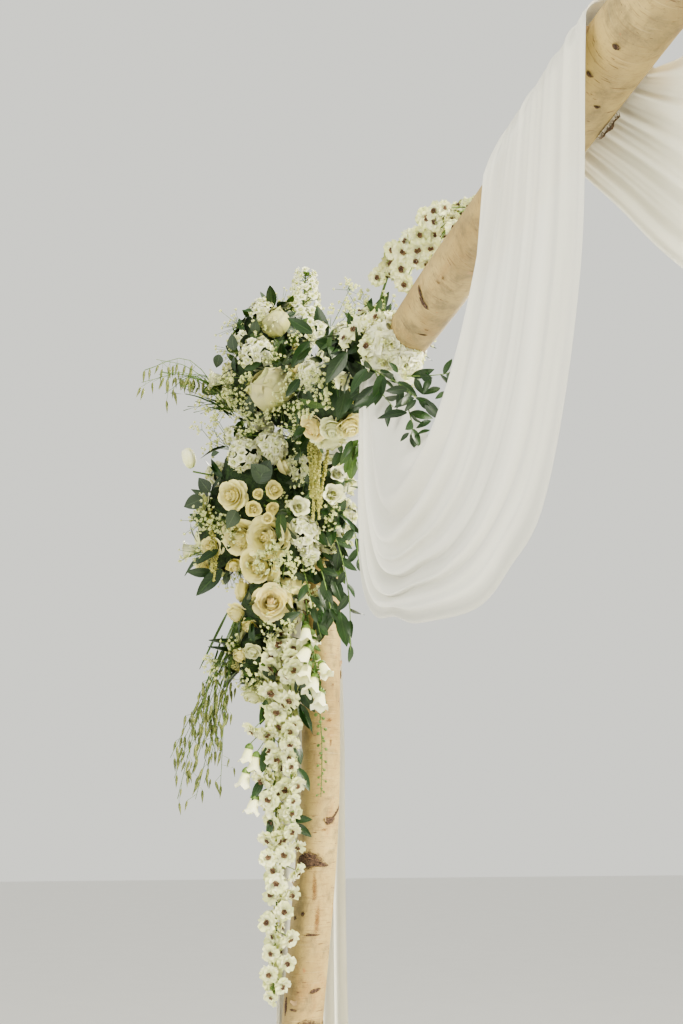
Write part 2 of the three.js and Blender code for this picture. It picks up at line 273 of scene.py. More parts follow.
def maths(finish, operation, *values):
    made = finish.node("ShaderNodeMath", operation=operation)
    feed(finish, made.inputs, values)
    return made.outputs["Value"]


def times(finish, value, factor):
    return maths(finish, "MULTIPLY", value, factor)


def blendColour(finish, factor, first, second):
    made = finish.node("ShaderNodeMix", data_type="RGBA")
    feed(finish, (made.inputs[0], made.inputs[6], made.inputs[7]), (factor, first, second))
    return made.outputs[2]


def tint(finish, ground, mask, strength, colour):
    # lays a colour over the ground where the mask is bright
    return blendColour(finish, times(finish, mask, strength), ground, colour)


def mixColours(finish, factor, first, second):
    finish.link(blendColour(finish, factor, first, second), finish.shader.inputs["Base Color"])


def bump(finish, height, depth, strength=1.0, below=None):
    made = finish.node("ShaderNodeBump")
    setInputs(made, {"Distance": depth, "Strength": strength})
    finish.link(height, made.inputs["Height"])
    if below is not None:
        finish.link(below, made.inputs["Normal"])
    finish.link(made.outputs["Normal"], finish.shader.inputs["Normal"])
    return made.outputs["Normal"]


# Node trees: sockets are name and kind, nodes are kind with their settings and inputs, and a link is
# written as node.output > node.input. "in" and "out" are the tree's own ends.
def buildTree(name, kind, sockets, result, parts, links):
    tree = bpy.data.node_groups.new(name, kind)
    for label, (socket, *value) in sockets.items():
        made = tree.interface.new_socket(label, in_out="INPUT", socket_type="NodeSocket" + socket)
        if value:
            made.default_value = value[0]
    tree.interface.new_socket(result[0], in_out="OUTPUT", socket_type="NodeSocket" + result[1])
    nodesByName = {"in": tree.nodes.new("NodeGroupInput"), "out": tree.nodes.new("NodeGroupOutput")}
    for label, (part, settings, *values) in parts.items():
        made = nodesByName[label] = tree.nodes.new(part)
        for key, value in settings.items():
            setattr(made, key, value)
        setInputs(made, dict(*values))
    for line in links:
        source, goal = [end.split(".") for end in line.split(" > ")]
        start = socketIn(nodesByName[source[0]].outputs, source[1])
        tree.links.new(start, socketIn(nodesByName[goal[0]].inputs, goal[1]))
    return tree


def socketIn(sockets, label):
    return sockets[int(label)] if label.isdigit() else sockets[label]


# Birch poles. Each bark point carries barkPlace: where it lies on a straight pole,
# across the pole in the first two values and along it in the third.
bark = {
    "around": 56, "ringStep": 0.012, "lump": 0.0011, "usualRadius": 0.04, "capRings": 5,
    "pale": (0.35, 0.24, 0.09), "cream": (0.56, 0.435, 0.19), "blush": (0.33, 0.165, 0.055),
    # grime is the colour of the real dirt and specks, and also of the painted shade on one side of the
    # poles
    "grimeAndShade": (0.155, 0.125, 0.07), "lenticel": (0.17, 0.095, 0.055), "scar": (0.05, 0.03, 0.022),
    "crack": (0.24, 0.155, 0.072), "paper": (0.62, 0.51, 0.31), "rust": (0.42, 0.17, 0.07),
    # clouds: scale, detail, stretch, roughness, distortion
    "clouds": {
        "broad": (5.0, 5, (1, 1, 0.45), 0.6), "patches": (14.0, 5, (1, 1, 0.5), 0.62, 0.6),
        "dirt": (26.0, 6, (1, 1, 0.7), 0.68, 0.4), "specks": (210.0, 4, (1, 1, 1.5), 0.7),
        "rustSpots": (60.0, 3, (1, 1, 0.6)),
    },
    # lines round the pole: scale along it, scale round it, cut and edge
    "lines": {
        "fine": (420.0, 30.0, 0.56, 0.12), "papery": (300.0, 16.0, 0.6, 0.12),
        "short": (260.0, 46.0, 0.665, 0.04), "longer": (150.0, 17.0, 0.7, 0.03),
    },
    # laid over the ground in turn: mask, its low and high edge, strength, colour
    "tints": [
        ("patches", (0.55, 0.75), 0.62, "blush"), ("dirt", (0.46, 0.68), 0.62, "grimeAndShade"),
        # the side tint below is painted shade: bark darker on the posts' -Y side and on the beam's
        # underside, broken up by the dirt clouds
        ("specks", (0.56, 0.7), 0.45, "grimeAndShade"), ("shadedSide", (0.55, 1.45), 0.55, "grimeAndShade"),
        ("fine", None, 0.45, "crack"), ("papery", None, 0.26, "paper"), ("short", None, 0.85, "lenticel"),
        ("longer", None, 0.8, "lenticel"), ("rustSpots", (0.69, 0.76), 0.7, "rust"),
    ],
}


def barkSkinGroup():
    sockets = {"Place": ("Vector",), "Length Scale": ("Float", 230.0), "Round Scale": ("Float", 22.0),
               "Cut": ("Float", 0.63), "Edge": ("Float", 0.05)}
    parts = {
        "scale": ("ShaderNodeCombineXYZ", {}),
        "stretch": ("ShaderNodeVectorMath", {"operation": "MULTIPLY"}),
        "cloud": ("ShaderNodeTexNoise", {}, {"Scale": 1.0, "Detail": 3.0, "Roughness": 0.6}),
        "edge": ("ShaderNodeMath", {"operation": "ADD"}),
        "lines": ("ShaderNodeMapRange", {"interpolation_type": "SMOOTHSTEP"}),
    }
    return buildTree("barkSkin", "ShaderNodeTree", sockets, ("Lines", "Float"), parts, [
        "in.Round Scale > scale.X", "in.Round Scale > scale.Y", "in.Length Scale > scale.Z",
        "in.Place > stretch.0", "scale.Vector > stretch.1", "stretch.Vector > cloud.Vector",
        "in.Cut > edge.0", "in.Edge > edge.1", "cloud.Fac > lines.Value",
        "in.Cut > lines.From Min", "edge.Value > lines.From Max", "lines.Result > out.Lines"])


def barkLines(finish, place, lengthScale, roundScale, cut, edge):
    made = finish.node("ShaderNodeGroup", node_tree=barkSkin)
    finish.link(place, made.inputs["Place"])
    setInputs(made, {"Length Scale": lengthScale, "Round Scale": roundScale, "Cut": cut, "Edge": edge})
    return made.outputs["Lines"]


def barkMaterial():
    finish = newMaterial("birchBark", bark["pale"], 0.72)
    place = coordinates(finish, "barkPlace")
    masks = {name: noise(finish, "barkPlace", *terms) for name, terms in bark["clouds"].items()}
    for name, terms in bark["lines"].items():
        masks[name] = barkLines(finish, place, *terms)
    # painted shade: across the pole the bark darkens toward -Y on a post and toward the underside on the
    # beam, mixed with the dirt clouds
    far = times(finish, split(finish, place)["Y"], -20.0)
    masks["shadedSide"] = maths(finish, "ADD", far, times(finish, masks["dirt"], 0.9))
    ground = blendColour(finish, band(finish, masks["broad"], 0.36, 0.66), bark["pale"], bark["cream"])
    for name, edges, strength, colour in bark["tints"]:
        mask = band(finish, masks[name], *edges) if edges else masks[name]
        ground = tint(finish, ground, mask, strength, bark[colour])
    finish.link(ground, finish.shader.inputs["Base Color"])
    between(finish, masks["patches"], 0.55, 0.85, "Roughness")
    relief = bump(finish, masks["patches"], 0.004, 0.5)
    relief = bump(finish, masks["fine"], 0.0006, 0.6, relief)
    bump(finish, maths(finish, "ADD", masks["short"], masks["longer"]), 0.0012, 0.8, relief)
    return finish.material


def scarMaterial(name, dark, light, softness, cover):
    # the mark frays out into the bark toward its rim
    finish = newMaterial(name, dark, 0.9)
    grain = noise(finish, "Object", 190.0, 5, (1, 1, 2.2), 0.7)
    mixColours(finish, band(finish, grain, 0.35, 0.7), dark, light)
    bump(finish, grain, 0.004, 0.9)
    fray = maths(finish, "SUBTRACT", noise(finish, "barkPlace", 150.0, 4, (1, 1, 1.6), 0.7), 0.5)
    edge = maths(finish, "ADD", stored(finish, "rim"), times(finish, fray, 1.3))
    shown = band(finish, edge, 0.96, 0.96 - softness)
    finish.link(times(finish, shown, cover), finish.shader.inputs["Alpha"])
    return finish.material


def flakeMaterial():
    finish = newMaterial("peelingBark", (0.36, 0.25, 0.13), 0.7)
    grain = noise(finish, "Object", 90.0, 4, (1, 1, 4))
    mixColours(finish, grain, (0.26, 0.165, 0.08), (0.42, 0.31, 0.165))
    bump(finish, grain, 0.001, 0.5)
    return finish.material


def sawnWoodMaterial():
    finish = newMaterial("sawnWood", (0.72, 0.55, 0.36), 0.75)
    apart = split(finish, coordinates(finish, "barkPlace"))
    squares = [maths(finish, "POWER", apart[axis], 2.0) for axis in ("X", "Y")]
    radius = maths(finish, "SQRT", maths(finish, "ADD", *squares))
    wobble = times(finish, noise(finish, "barkPlace", 40.0, 3), 0.006)
    rings = times(finish, maths(finish, "ADD", radius, wobble), 2200.0)
    rings = band(finish, maths(finish, "SINE", rings), -0.6, 1.0)
    cracks = band(finish, noise(finish, "barkPlace", 120.0, 4), 0.6, 0.7)
    tone = blendColour(finish, rings, (0.74, 0.58, 0.38), (0.56, 0.38, 0.22))
    finish.link(tint(finish, tone, cracks, 0.5, (0.3, 0.2, 0.12)), finish.shader.inputs["Base Color"])
    bump(finish, rings, 0.0005, 0.6)
    return finish.material


def postCentre(height):
    return arch["jointY"] * smoothstep(height, *arch["bow"])


def smoothstep(value, low, high):
    share = np.clip((value - low) / (high - low), 0, 1)
    return share * share * (3 - 2 * share)


def postSkin(angle, height, proud=0.0):
    # angle from +X toward +Y; returns points on the left post's bark
    share = height / arch["beamHeight"]
    radius = arch["footRadius"] + (arch["topRadius"] - arch["footRadius"]) * share
    radius = radius + barkLump(angle, height, 1.0) + proud
    x, y = radius * np.cos(angle), radius * np.sin(angle)
    return np.stack([x, postCentre(height) + y, height], -1), np.stack([x, y, height], -1)


def beamSkin(angle, along, proud=0.0):
    # angle from +Y toward +Z; along is the place on the beam from the left joint
    radius = arch["beamRadius"] + barkLump(angle, along, 4.0) + proud
    y, z = radius * np.cos(angle), radius * np.sin(angle)
    points = np.stack([along, arch["jointY"] + y, arch["beamHeight"] + z], -1)
    return points, np.stack([y, z, along], -1)


def barkLump(angle, along, phase):
    wave = np.sin(3 * angle + 5.1 * along + phase) * np.cos(7.3 * along + 2 * phase)
    wave = wave + 0.6 * np.sin(2 * angle - 11.0 * along + 1.7 * phase)
    return bark["lump"] * wave


def poleMesh(name, skin, start, end):
    around = bark["around"]
    rings = int((end - start) / bark["ringStep"]) + 1
    angle = np.linspace(0, 2 * math.pi, around, endpoint=False)
    alongGrid, angleGrid = np.meshgrid(np.linspace(start, end, rings), angle, indexing="ij")
    points, places = [part.reshape(-1, 3) for part in skin(angleGrid, alongGrid)]
    faces = gridFaces(rings, around, closed=True)
    sides = len(faces)
    for rowStart, step in ((0, -1), ((rings - 1) * around, 1)):  # sawn ends
        rim = last = np.arange(rowStart, rowStart + around)
        for ring in range(1, bark["capRings"]):
            share = 1 - ring / bark["capRings"]
            current = len(points) + np.arange(around)
            points = np.vstack([points, shrunk(points[rim], share)])
            places = np.vstack([places, shrunk(places[rim], share)])
            for k in range(around):
                after = (k + 1) % around
                faces.append((last[k], last[after], current[after], current[k])[::step])
            last = current
        faces.append(tuple(last[::step]))
    piece = meshPiece(name, points, faces, smooth=True)
    storeVectors(piece, "barkPlace", places)
    piece.data.materials.append(barkFinish)
    piece.data.materials.append(sawnFinish)
    marks = np.zeros(len(faces), dtype=np.int32)
    marks[sides:] = 1
    piece.data.polygons.foreach_set("material_index", marks)
    piece.data.polygons.foreach_set("use_smooth", marks == 0)
    return piece


def shrunk(rim, share):
    middle = rim.mean(0)
    return middle + (rim - middle) * share


def barkPatch(name, skin, angle, along, width, height, tilt, proud, seed, finish):
    # a knot or scar: a ragged oval that swells out of the bark
    local = np.random.default_rng(seed)
    rings, spokes = 7, 26
    ragged = 1 + 0.16 * local.standard_normal(spokes)
    ragged = (ragged + np.roll(ragged, 1) + np.roll(ragged, -1)) / 3
    points, places, rims = [], [], []
    turnCos, turnSin = math.cos(tilt), math.sin(tilt)
    for ring in range(rings + 1):
        share = ring / rings
        for spoke in range(spokes):
            direction = 2 * math.pi * spoke / spokes
            reach = share * (1 + (ragged[spoke] - 1) * share)
            a = reach * math.cos(direction) * width / 2
            b = reach * math.sin(direction) * height / 2
            lift = proud * (1 - share ** 3) * (0.75 + 0.25 * math.cos(9 * share)) - 0.0006 * (share > 0.95)
            lift += proud * 0.35 * local.random() * (share < 0.9)
            aside, rise = a * turnCos - b * turnSin, a * turnSin + b * turnCos
            point, place = skin(np.array(angle + aside / bark["usualRadius"]), np.array(along + rise), lift)
            points.append(point)
            places.append(place)
            rims.append(share)
    piece = meshPiece(name, points, gridFaces(rings + 1, spokes, closed=True), smooth=True)
    storeVectors(piece, "barkPlace", places)
    storeFloats(piece, "rim", rims)
    piece.data.materials.append(finish)
    return piece


def barkCurls(name, skin, start, end, count, seed):
    # thin papery strips that peel off round the pole
    local = np.random.default_rng(seed)
    columns, rows = 7, 4
    points, faces = [], []
    for _ in range(count):
        along, angle = local.uniform(start, end), local.uniform(0, 2 * math.pi)
        width, reach = local.uniform(0.004, 0.014), local.uniform(0.006, 0.02)
        curl, side = local.uniform(0.001, 0.005), local.choice([-1, 1])
        base = len(points)
        for column in range(columns + 1):
            share = column / columns
            lift = 0.0004 + curl * share ** 2.2
            swing = side * reach * share * (1 - 0.25 * share) / bark["usualRadius"]
            taper, wave = 1 - 0.55 * share ** 2, 0.002 * math.sin(5 * share + seed)
            for row in range(rows + 1):
                off = (row / rows - 0.5) * width * taper + wave
                points.append(skin(np.array(angle + swing), np.array(along + off), lift)[0])
        faces += [tuple(base + i for i in face) for face in gridFaces(columns + 1, rows + 1)]
    piece = meshPiece(name, points, faces, smooth=True)
    piece.data.materials.append(flakeFinish)
    return piece


def joinPieces(name, pieces):
    bpy.ops.object.select_all(action="DESELECT")
    for piece in pieces:
        piece.select_set(True)
    bpy.context.view_layer.objects.active = pieces[0]
    if len(pieces) > 1:
        bpy.ops.object.join()
    pieces[0].name = pieces[0].data.name = name
    return pieces[0]


def declare(pieces):
    # each piece stands for its nodes of the model
    for piece, names in pieces.items():
        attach(piece, "root")
        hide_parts(*names)


def mirrorPiece(piece, name):
    # the same piece at the other end of the beam
    mesh = piece.data.copy()
    points = pointsOf(mesh)
    points[:, 0] = arch["span"] - points[:, 0]
    mesh.vertices.foreach_set("co", points.ravel())
    mesh.flip_normals()
    mesh.update()
    return addObject(name, mesh)


# knots of the left post: angle, height, width, height of the mark, tilt, how proud
postKnots = [
    (-36, 1.493, 0.074, 0.036, 0.1, 0.003), (-44, 1.496, 0.034, 0.022, 0, 0.004),
    (4, 1.486, 0.044, 0.012, -0.1, 0.001), (26, 1.57, 0.032, 0.018, 0.35, 0.002),
    (54, 1.586, 0.046, 0.008, 0.75, 0.0012), (-64, 1.384, 0.009, 0.01, 0, 0.0015),
    (-36, 1.393, 0.01, 0.011, 0, 0.0015), (-5, 1.354, 0.036, 0.006, 0.05, 0.0008),
    (20, 1.252, 0.03, 0.01, 0.35, 0.0012), (-68, 1.222, 0.01, 0.044, 0.1, 0.0012),
    (-38, 1.216, 0.02, 0.006, -0.1, 0.0008), (6, 1.18, 0.064, 0.044, 0, 0.0045),
    (175, 0.93, 0.07, 0.04, 0.1, 0.0045), (80, 0.64, 0.062, 0.036, -0.1, 0.004),
    (-60, 0.42, 0.068, 0.042, 0.2, 0.005), (215, 1.33, 0.054, 0.032, 0, 0.0035),
    (110, 1.86, 0.05, 0.03, 0.1, 0.003), (-120, 0.8, 0.044, 0.026, 0, 0.003),
    (20, 0.26, 0.056, 0.034, 0, 0.004),
]

# rusty stains of the left post, in the same terms
postStains = [
    (-9, 1.442, 0.014, 0.08, 0.05, 0.0003), (6, 1.38, 0.016, 0.09, 0, 0.0003),
    (8, 1.552, 0.02, 0.01, 0.2, 0.0003), (25, 1.835, 0.008, 0.009, 0, 0.0006),
    (-8, 1.784, 0.015, 0.01, 0, 0.0008), (13, 1.764, 0.018, 0.014, 0.3, 0.0006),
    (18, 1.722, 0.008, 0.024, 0, 0.0008),
]

# marks of the beam: angle, place along it, size round the beam and along it, tilt, how proud
beamKnots = [
    (198, 0.99, 0.03, 0.011, -0.42, 0.002), (220, 0.979, 0.03, 0.014, -0.38, 0.002),
    (261, 0.884, 0.02, 0.006, 0.3, 0.001), (222, 1.64, 0.011, 0.009, 0, 0.0018),
    (262, 1.6, 0.008, 0.006, 0, 0.0012), (230, 1.7, 0.012, 0.01, 0.2, 0.0016),
    (318, 1.545, 0.02, 0.07, 0, 0.006), (90, 1.18, 0.034, 0.022, 0, 0.003),
    (40, 0.99, 0.03, 0.018, 0, 0.003), (250, 1.9, 0.044, 0.024, 0.2, 0.0035),
    (150, 2.05, 0.03, 0.02, 0, 0.003), (10, 1.93, 0.04, 0.024, 0.1, 0.0035),
]

# rusty stains of the beam
beamStains = [
    (219, 1.061, 0.013, 0.011, 0, 0.0006), (222, 1.082, 0.008, 0.014, 0, 0.0006),
    (262, 0.905, 0.014, 0.008, 0.2, 0.0003),
]


def addMarks(skin, knots, stains, seeds, curls):
    extras = []
    for marks, finish, seed in ((knots, scarFinish, seeds[0]), (stains, stainFinish, seeds[1])):
        for number, (angle, *rest) in enumerate(marks):
            extras.append(barkPatch("mark", skin, math.radians(angle), *rest, seed + number, finish))
    return extras + [barkCurls("curls", skin, *curls)]


def addPoles():
    span, overhang, radius = arch["span"], arch["beamOverhang"], arch["beamRadius"]
    left = poleMesh("leftPost", postSkin, 0.0, arch["beamHeight"] - arch["copeDrop"])
    points = pointsOf(left.data).astype(float)
    # the top is cut to fit under the round beam
    offset = np.clip(np.abs(points[:, 1] - arch["jointY"]), 0, radius)
    ceiling = arch["beamHeight"] - np.sqrt(radius ** 2 - offset ** 2) - arch["copeGap"]
    points[:, 2] = np.minimum(points[:, 2], ceiling)
    left.data.vertices.foreach_set("co", points.astype(np.float32).ravel())
    left.data.update()
    marks = addMarks(postSkin, postKnots, postStains, (0, 80), (0.06, 2.2, 22, 3))
    left = joinPieces("leftPostBark", [left] + marks)
    right = mirrorPiece(left, "rightPostBark")
    beam = poleMesh("beam", beamSkin, -overhang, span + overhang)
    marks = addMarks(beamSkin, beamKnots, beamStains, (40, 120), (0.0, span, 20, 5))
    beam = joinPieces("beamBark", [beam] + marks)
    declare({left: ["left_post"], right: ["right_post"], beam: ["crossbeam"]})


# Scarf. Every row of the cloth runs across it, from the upper hem to the lower hem.
scarf = {
    "columns": 120, "swagRows": 84, "wrapRows": 18, "wrapLift": 0.011, "gatherDepth": 0.003,
    "flatSize": (0.4, 2.66), "threads": 420.0, "cover": (0.78, 0.95),
    # the streak colour is painted shade, and the clouds between the two cloth tones are painted soft
    # shading too
    "cloth": ((0.85, 0.85, 0.77), (0.94, 0.935, 0.85)), "streakShade": (0.67, 0.672, 0.6),
    # the fold colour is painted shade, laid on the valleys of folds and pleats
    "fold": (0.47, 0.465, 0.395), "colour": (0.9, 0.885, 0.84),
    "pleats": (7, 11, 16, 23),  # waves of a gather across the cloth
    "fineFolds": ((6.0, 0.003), (11.0, 0.0012), (19.0, 0.0005)),  # how many across, depth
}


def chiffonMaterial():
    finish = newMaterial("chiffon", scarf["colour"], 0.62)
    setInputs(finish.shader, {
        "Sheen Weight": 0.35, "Sheen Roughness": 0.4, "Subsurface Weight": 0.12,
        "Subsurface Radius": (0.03, 0.03, 0.028), "Subsurface Scale": 0.2})
    threads = maths(finish, "ADD", *[stripes(finish, "UV", way, scarf["threads"], 0.6) for way in "XY"])
    # painted shade: the tone clouds and the darker streaks along the cloth stand in for its soft shading
    cloth = blendColour(finish, noise(finish, "UV", 2.6, 3), *scarf["cloth"])
    shadeStreaks = band(finish, noise(finish, "UV", 9.0, 4, (1.6, 0.22, 1), 0.5), 0.4, 0.68)
    cloth = tint(finish, cloth, shadeStreaks, 0.55, scarf["streakShade"])
    # painted shade: the cloth darkens toward the fold colour where the stored fold value marks a valley of
    # a fold or pleat
    mixColours(finish, times(finish, stored(finish, "fold"), 0.72), cloth, scarf["fold"])
    between(finish, threads, *scarf["cover"], "Alpha")
    relief = bump(finish, noise(finish, "UV", 16.0, 5, (1, 0.25, 1), 0.6, 0.4), 0.0035, 0.35)
    bump(finish, threads, 0.0002, 0.3, relief)
    return finish.material


def curveThrough(knots, values, at):
    # smooth curve through given values
    knots, values, at = [np.asarray(part, float) for part in (knots, values, at)]
    slopes = np.gradient(values, knots)
    slot = np.clip(np.searchsorted(knots, at) - 1, 0, len(knots) - 2)
    width = knots[slot + 1] - knots[slot]
    t = (at - knots[slot]) / width
    leave, arrive = slopes[slot] * width, slopes[slot + 1] * width
    curve = (2 * t ** 3 - 3 * t ** 2 + 1) * values[slot] + (t ** 3 - 2 * t ** 2 + t) * leave
    return curve + (-2 * t ** 3 + 3 * t ** 2) * values[slot + 1] + (t ** 3 - t ** 2) * arrive


def pleats(v, seed):
    # packed pleats where the cloth is gathered, about one each 20 mm
    local = np.random.default_rng(seed)
    wave = np.zeros_like(v)
    for count in scarf["pleats"]:
        height = local.uniform(0.5, 1.0)
        wave = wave + height * np.sin(2 * math.pi * (count * v + local.random())) / (1 + count / 14)
    return wave / 1.6


# Thread lines of a swag, from the far end near the post (left) to the middle of the beam (right).
# Each row belongs to one place across the cloth, from the upper hem (0) to the lower hem (1).
frontSwag = {
    "across": [0, 0.14, 0.24, 1],
    "along": [
        [0.69, 0.735, 0.79, 0.85, 0.9, 0.96, 1.05, 1.14, 1.22, 1.3, 1.35],
        [0.68, 0.715, 0.765, 0.84, 0.95, 1.05, 1.14, 1.22, 1.29, 1.35, 1.385],
        [0.69, 0.7, 0.735, 0.81, 0.92, 1.04, 1.15, 1.25, 1.335, 1.395, 1.425],
        [0.63, 0.645, 0.645, 0.715, 0.86, 1.06, 1.26, 1.43, 1.562, 1.654, 1.69],
    ],
    "drop": [
        [0, 0.028, 0.06, 0.105, 0.165, 0.215, 0.238, 0.222, 0.17, 0.095, 0],
        [0, 0.087, 0.18, 0.25, 0.3, 0.312, 0.293, 0.255, 0.18, 0.085, 0],
        [0, 0.1, 0.205, 0.285, 0.328, 0.335, 0.322, 0.283, 0.2, 0.098, 0],
        [0, 0.12, 0.27, 0.405, 0.466, 0.486, 0.507, 0.496, 0.432, 0.24, 0],
    ],
    "forward": [
        [0, -0.006, -0.016, -0.026, -0.032, -0.034, -0.032, -0.024, -0.014, -0.004, 0],
        [0, 0.004, 0.008, 0.018, 0.03, 0.034, 0.03, 0.024, 0.014, 0.006, 0],
        [0, 0, 0, 0.003, 0.008, 0.011, 0.014, 0.014, 0.01, 0.005, 0],
        [0, 0.003, 0.003, 0.006, 0.012, 0.018, 0.02, 0.014, 0.006, 0.002, 0],
    ],
    "ridges": [
        (0.3, 0.055, 0.02), (0.41, 0.06, 0.022), (0.55, 0.07, 0.017), (0.7, 0.065, 0.021),
        (0.86, 0.075, 0.013),
    ],
    "hemWaves": 0.007, "seed": 11,
}

backSwag = {
    "across": [0, 0.2, 1],
    "along": [
        [0.72, 0.745, 0.79, 0.85, 0.92, 0.99, 1.07, 1.15, 1.23, 1.31, 1.38],
        [0.7, 0.722, 0.765, 0.835, 0.925, 1.01, 1.1, 1.19, 1.27, 1.35, 1.42],
        [0.63, 0.645, 0.655, 0.73, 0.86, 1, 1.15, 1.3, 1.44, 1.53, 1.61],
    ],
    "drop": [
        [0, 0.05, 0.09, 0.115, 0.12, 0.11, 0.09, 0.065, 0.045, 0.025, 0],
        [0, 0.08, 0.16, 0.215, 0.235, 0.225, 0.19, 0.145, 0.095, 0.045, 0],
        [0, 0.12, 0.27, 0.41, 0.47, 0.45, 0.39, 0.29, 0.165, 0.075, 0],
    ],
    "forward": [
        [0, -0.004, -0.012, -0.02, -0.024, -0.024, -0.022, -0.016, -0.008, -0.002, 0],
        [0, 0.004, 0.01, 0.018, 0.026, 0.028, 0.028, 0.024, 0.016, 0.008, 0],
        [0, 0.003, 0.004, 0.008, 0.014, 0.02, 0.026, 0.028, 0.022, 0.01, 0],
    ],
    "ridges": [
        (0.32, 0.06, 0.013), (0.47, 0.065, 0.015), (0.63, 0.055, 0.011), (0.78, 0.07, 0.014),
        (0.92, 0.05, 0.008),
    ],
    "hemWaves": 0.006, "seed": 23,
}


def threadSurface(rows, u, v, across):
    knots = np.linspace(0, 1, len(rows[0]))
    lines = np.stack([curveThrough(knots, row, u) for row in rows], 1)
    return np.stack([curveThrough(across, line, v) for line in lines])


def swagRows(swag, rows, v):
    # u = 0 at the gather near the post, u = 1 at the wrap in the middle of the beam
    local = np.random.default_rng(swag["seed"])
    u = np.linspace(0, 1, rows)
    along, drop, forward = [
        threadSurface(swag[lines], u, v, swag["across"]) for lines in ("along", "drop", "forward")]
    u, v = u[:, None], v[None, :]
    swing = np.sin(math.pi * u)
    strength = swing ** 0.7 * (0.95 - 0.5 * smoothstep(u, 0.4, 0.8))
    raised = np.zeros_like(along)
    for place, width, height in swag["ridges"]:
        drift = local.uniform(-0.5, 0.5) * 0.05 * np.sin(2.2 * math.pi * u + local.random() * 6)
        offset = (v - place - drift) / width
        ridge = np.exp(-np.where(offset < 0, offset ** 2 * 0.8, offset ** 2 * 3.2))
        raised = np.maximum(raised, ridge)
        forward = forward + height * ridge * strength
        drop = drop + 0.35 * height * ridge * strength
    fine = np.zeros_like(along)
    for count, height in scarf["fineFolds"]:
        fine += height * np.sin(2 * math.pi * (count * v + local.uniform(-0.6, 0.6) * u + local.random()))
    forward = forward + fine * (0.35 + 0.65 * swing)
    hem = smoothstep(v, 0.72, 1.0) * swing
    drop = drop + swag["hemWaves"] * hem * (np.sin(23 * u + 1.2) + 0.6 * np.sin(41 * u))
    forward = forward + swag["hemWaves"] * hem * np.cos(23 * u + 0.4)
    gather = scarf["gatherDepth"] * pleats(v, swag["seed"]) * (1 - swing) ** 2
    depth = arch["beamRadius"] + scarf["wrapLift"] + forward + gather
    # painted shade in the valleys between the ridges, strongest where the swag hangs lowest, none at the
    # upper hem
    fold = (1 - raised) * (0.25 + 0.75 * swing) * smoothstep(v, 0.05, 0.25)
    fold = fold * (1 - 0.35 * smoothstep(u, 0.45, 0.85))
    return np.stack([along, arch["jointY"] - depth, arch["beamHeight"] - drop, fold], -1)


def wrapRows(startX, endX, rows, v, seedStart, seedEnd, bow=0.0):
    # over the beam from front to back; pleats blend from one swag's to the other's
    u, v = np.linspace(0, 1, rows)[:, None], v[None, :]
    gather = pleats(v, seedStart) * (1 - u) + pleats(v, seedEnd) * u
    radius = arch["beamRadius"] + scarf["wrapLift"] + scarf["gatherDepth"] * gather
    x = startX * (1 - u) + endX * u - bow * np.sin(math.pi * u) * (1 - v) ** 2
    # painted shade in the valleys of the pleats
    return roundBeam(x, radius, math.pi * (1 - u), 0.25 - 0.35 * gather)


def roundBeam(x, radius, angle, fold):
    # cloth that lies on the beam, and how deep in a fold each point is, which sets its painted fold shade
    y, z = arch["jointY"] + radius * np.cos(angle), arch["beamHeight"] + radius * np.sin(angle)
    return np.stack([x, y, z, np.clip(fold, 0, 1)], -1)


def clothPiece(name, grid, widthAt):
    rows, columns = grid.shape[:2]
    piece = meshPiece(name, grid[..., :3].reshape(-1, 3), gridFaces(rows, columns), smooth=True)
    # each point's painted fold shade goes to the material
    storeFloats(piece, "fold", grid[..., 3])
    steps = np.linalg.norm(np.diff(grid[:, columns // 2, :3], axis=0), axis=1)
    along = np.concatenate([[0], np.cumsum(steps)])
    layer = piece.data.uv_layers.new(name="flatCloth")
    loops = np.empty(len(piece.data.loops), dtype=np.int32)
    piece.data.loops.foreach_get("vertex_index", loops)
    uv = np.stack([(loops % columns) / (columns - 1) * widthAt, along[loops // columns]], -1)
    layer.data.foreach_set("uv", uv.astype(np.float32).ravel())
    piece.data.materials.append(chiffonFinish)
    return piece


def halfTurn(grid):
    turned = grid.copy()
    turned[..., 0] = arch["span"] - turned[..., 0]
    turned[..., 1] = 2 * arch["jointY"] - turned[..., 1]
    return turned


def addMiddleScarf():
    # one scarf: over the beam near the left post, down in the front swag, over the middle of the
    # beam, down in the back swag and over the beam again near the right post
    v = np.linspace(0, 1, scarf["columns"])
    rows, near, far = scarf["wrapRows"], frontSwag["seed"], backSwag["seed"]
    front = swagRows(frontSwag, scarf["swagRows"], v)
    back = halfTurn(swagRows(backSwag, scarf["swagRows"], v))[::-1, ::-1]
    start = wrapRows(front[0, :, 0], front[0, :, 0], rows, v, near, near)[::-1]
    middle = wrapRows(front[-1, :, 0], back[0, :, 0], rows, v, near, far, -0.05)
    end = wrapRows(back[-1, :, 0], back[-1, :, 0], rows, v, far, far)[::-1]
    grid = np.concatenate([start[:-1], front, middle[1:-1], back, end[1:]])
    return clothPiece("scarfMiddle", grid, scarf["flatSize"][0])


# Scarf at a corner: wound along the beam under the flowers, once round its end, and down behind the post
cornerScarf = {
    "windStart": 0.46, "pitch": 0.115, "bandWidth": 0.15, "endPlace": -0.074, "flatSize": (0.28, 3.6),
    "tailFolds": 5, "tailBottom": 0.045, "tailHalf": (0.036, 0.066, 0.15), "tailRows": 90, "windRows": 220,
    "columns": 60, "lift": 0.0024,
    "creases": ((4.3, 2.6, 0.004), (9.1, -4.3, 0.0018)),  # waves across and along, height
}


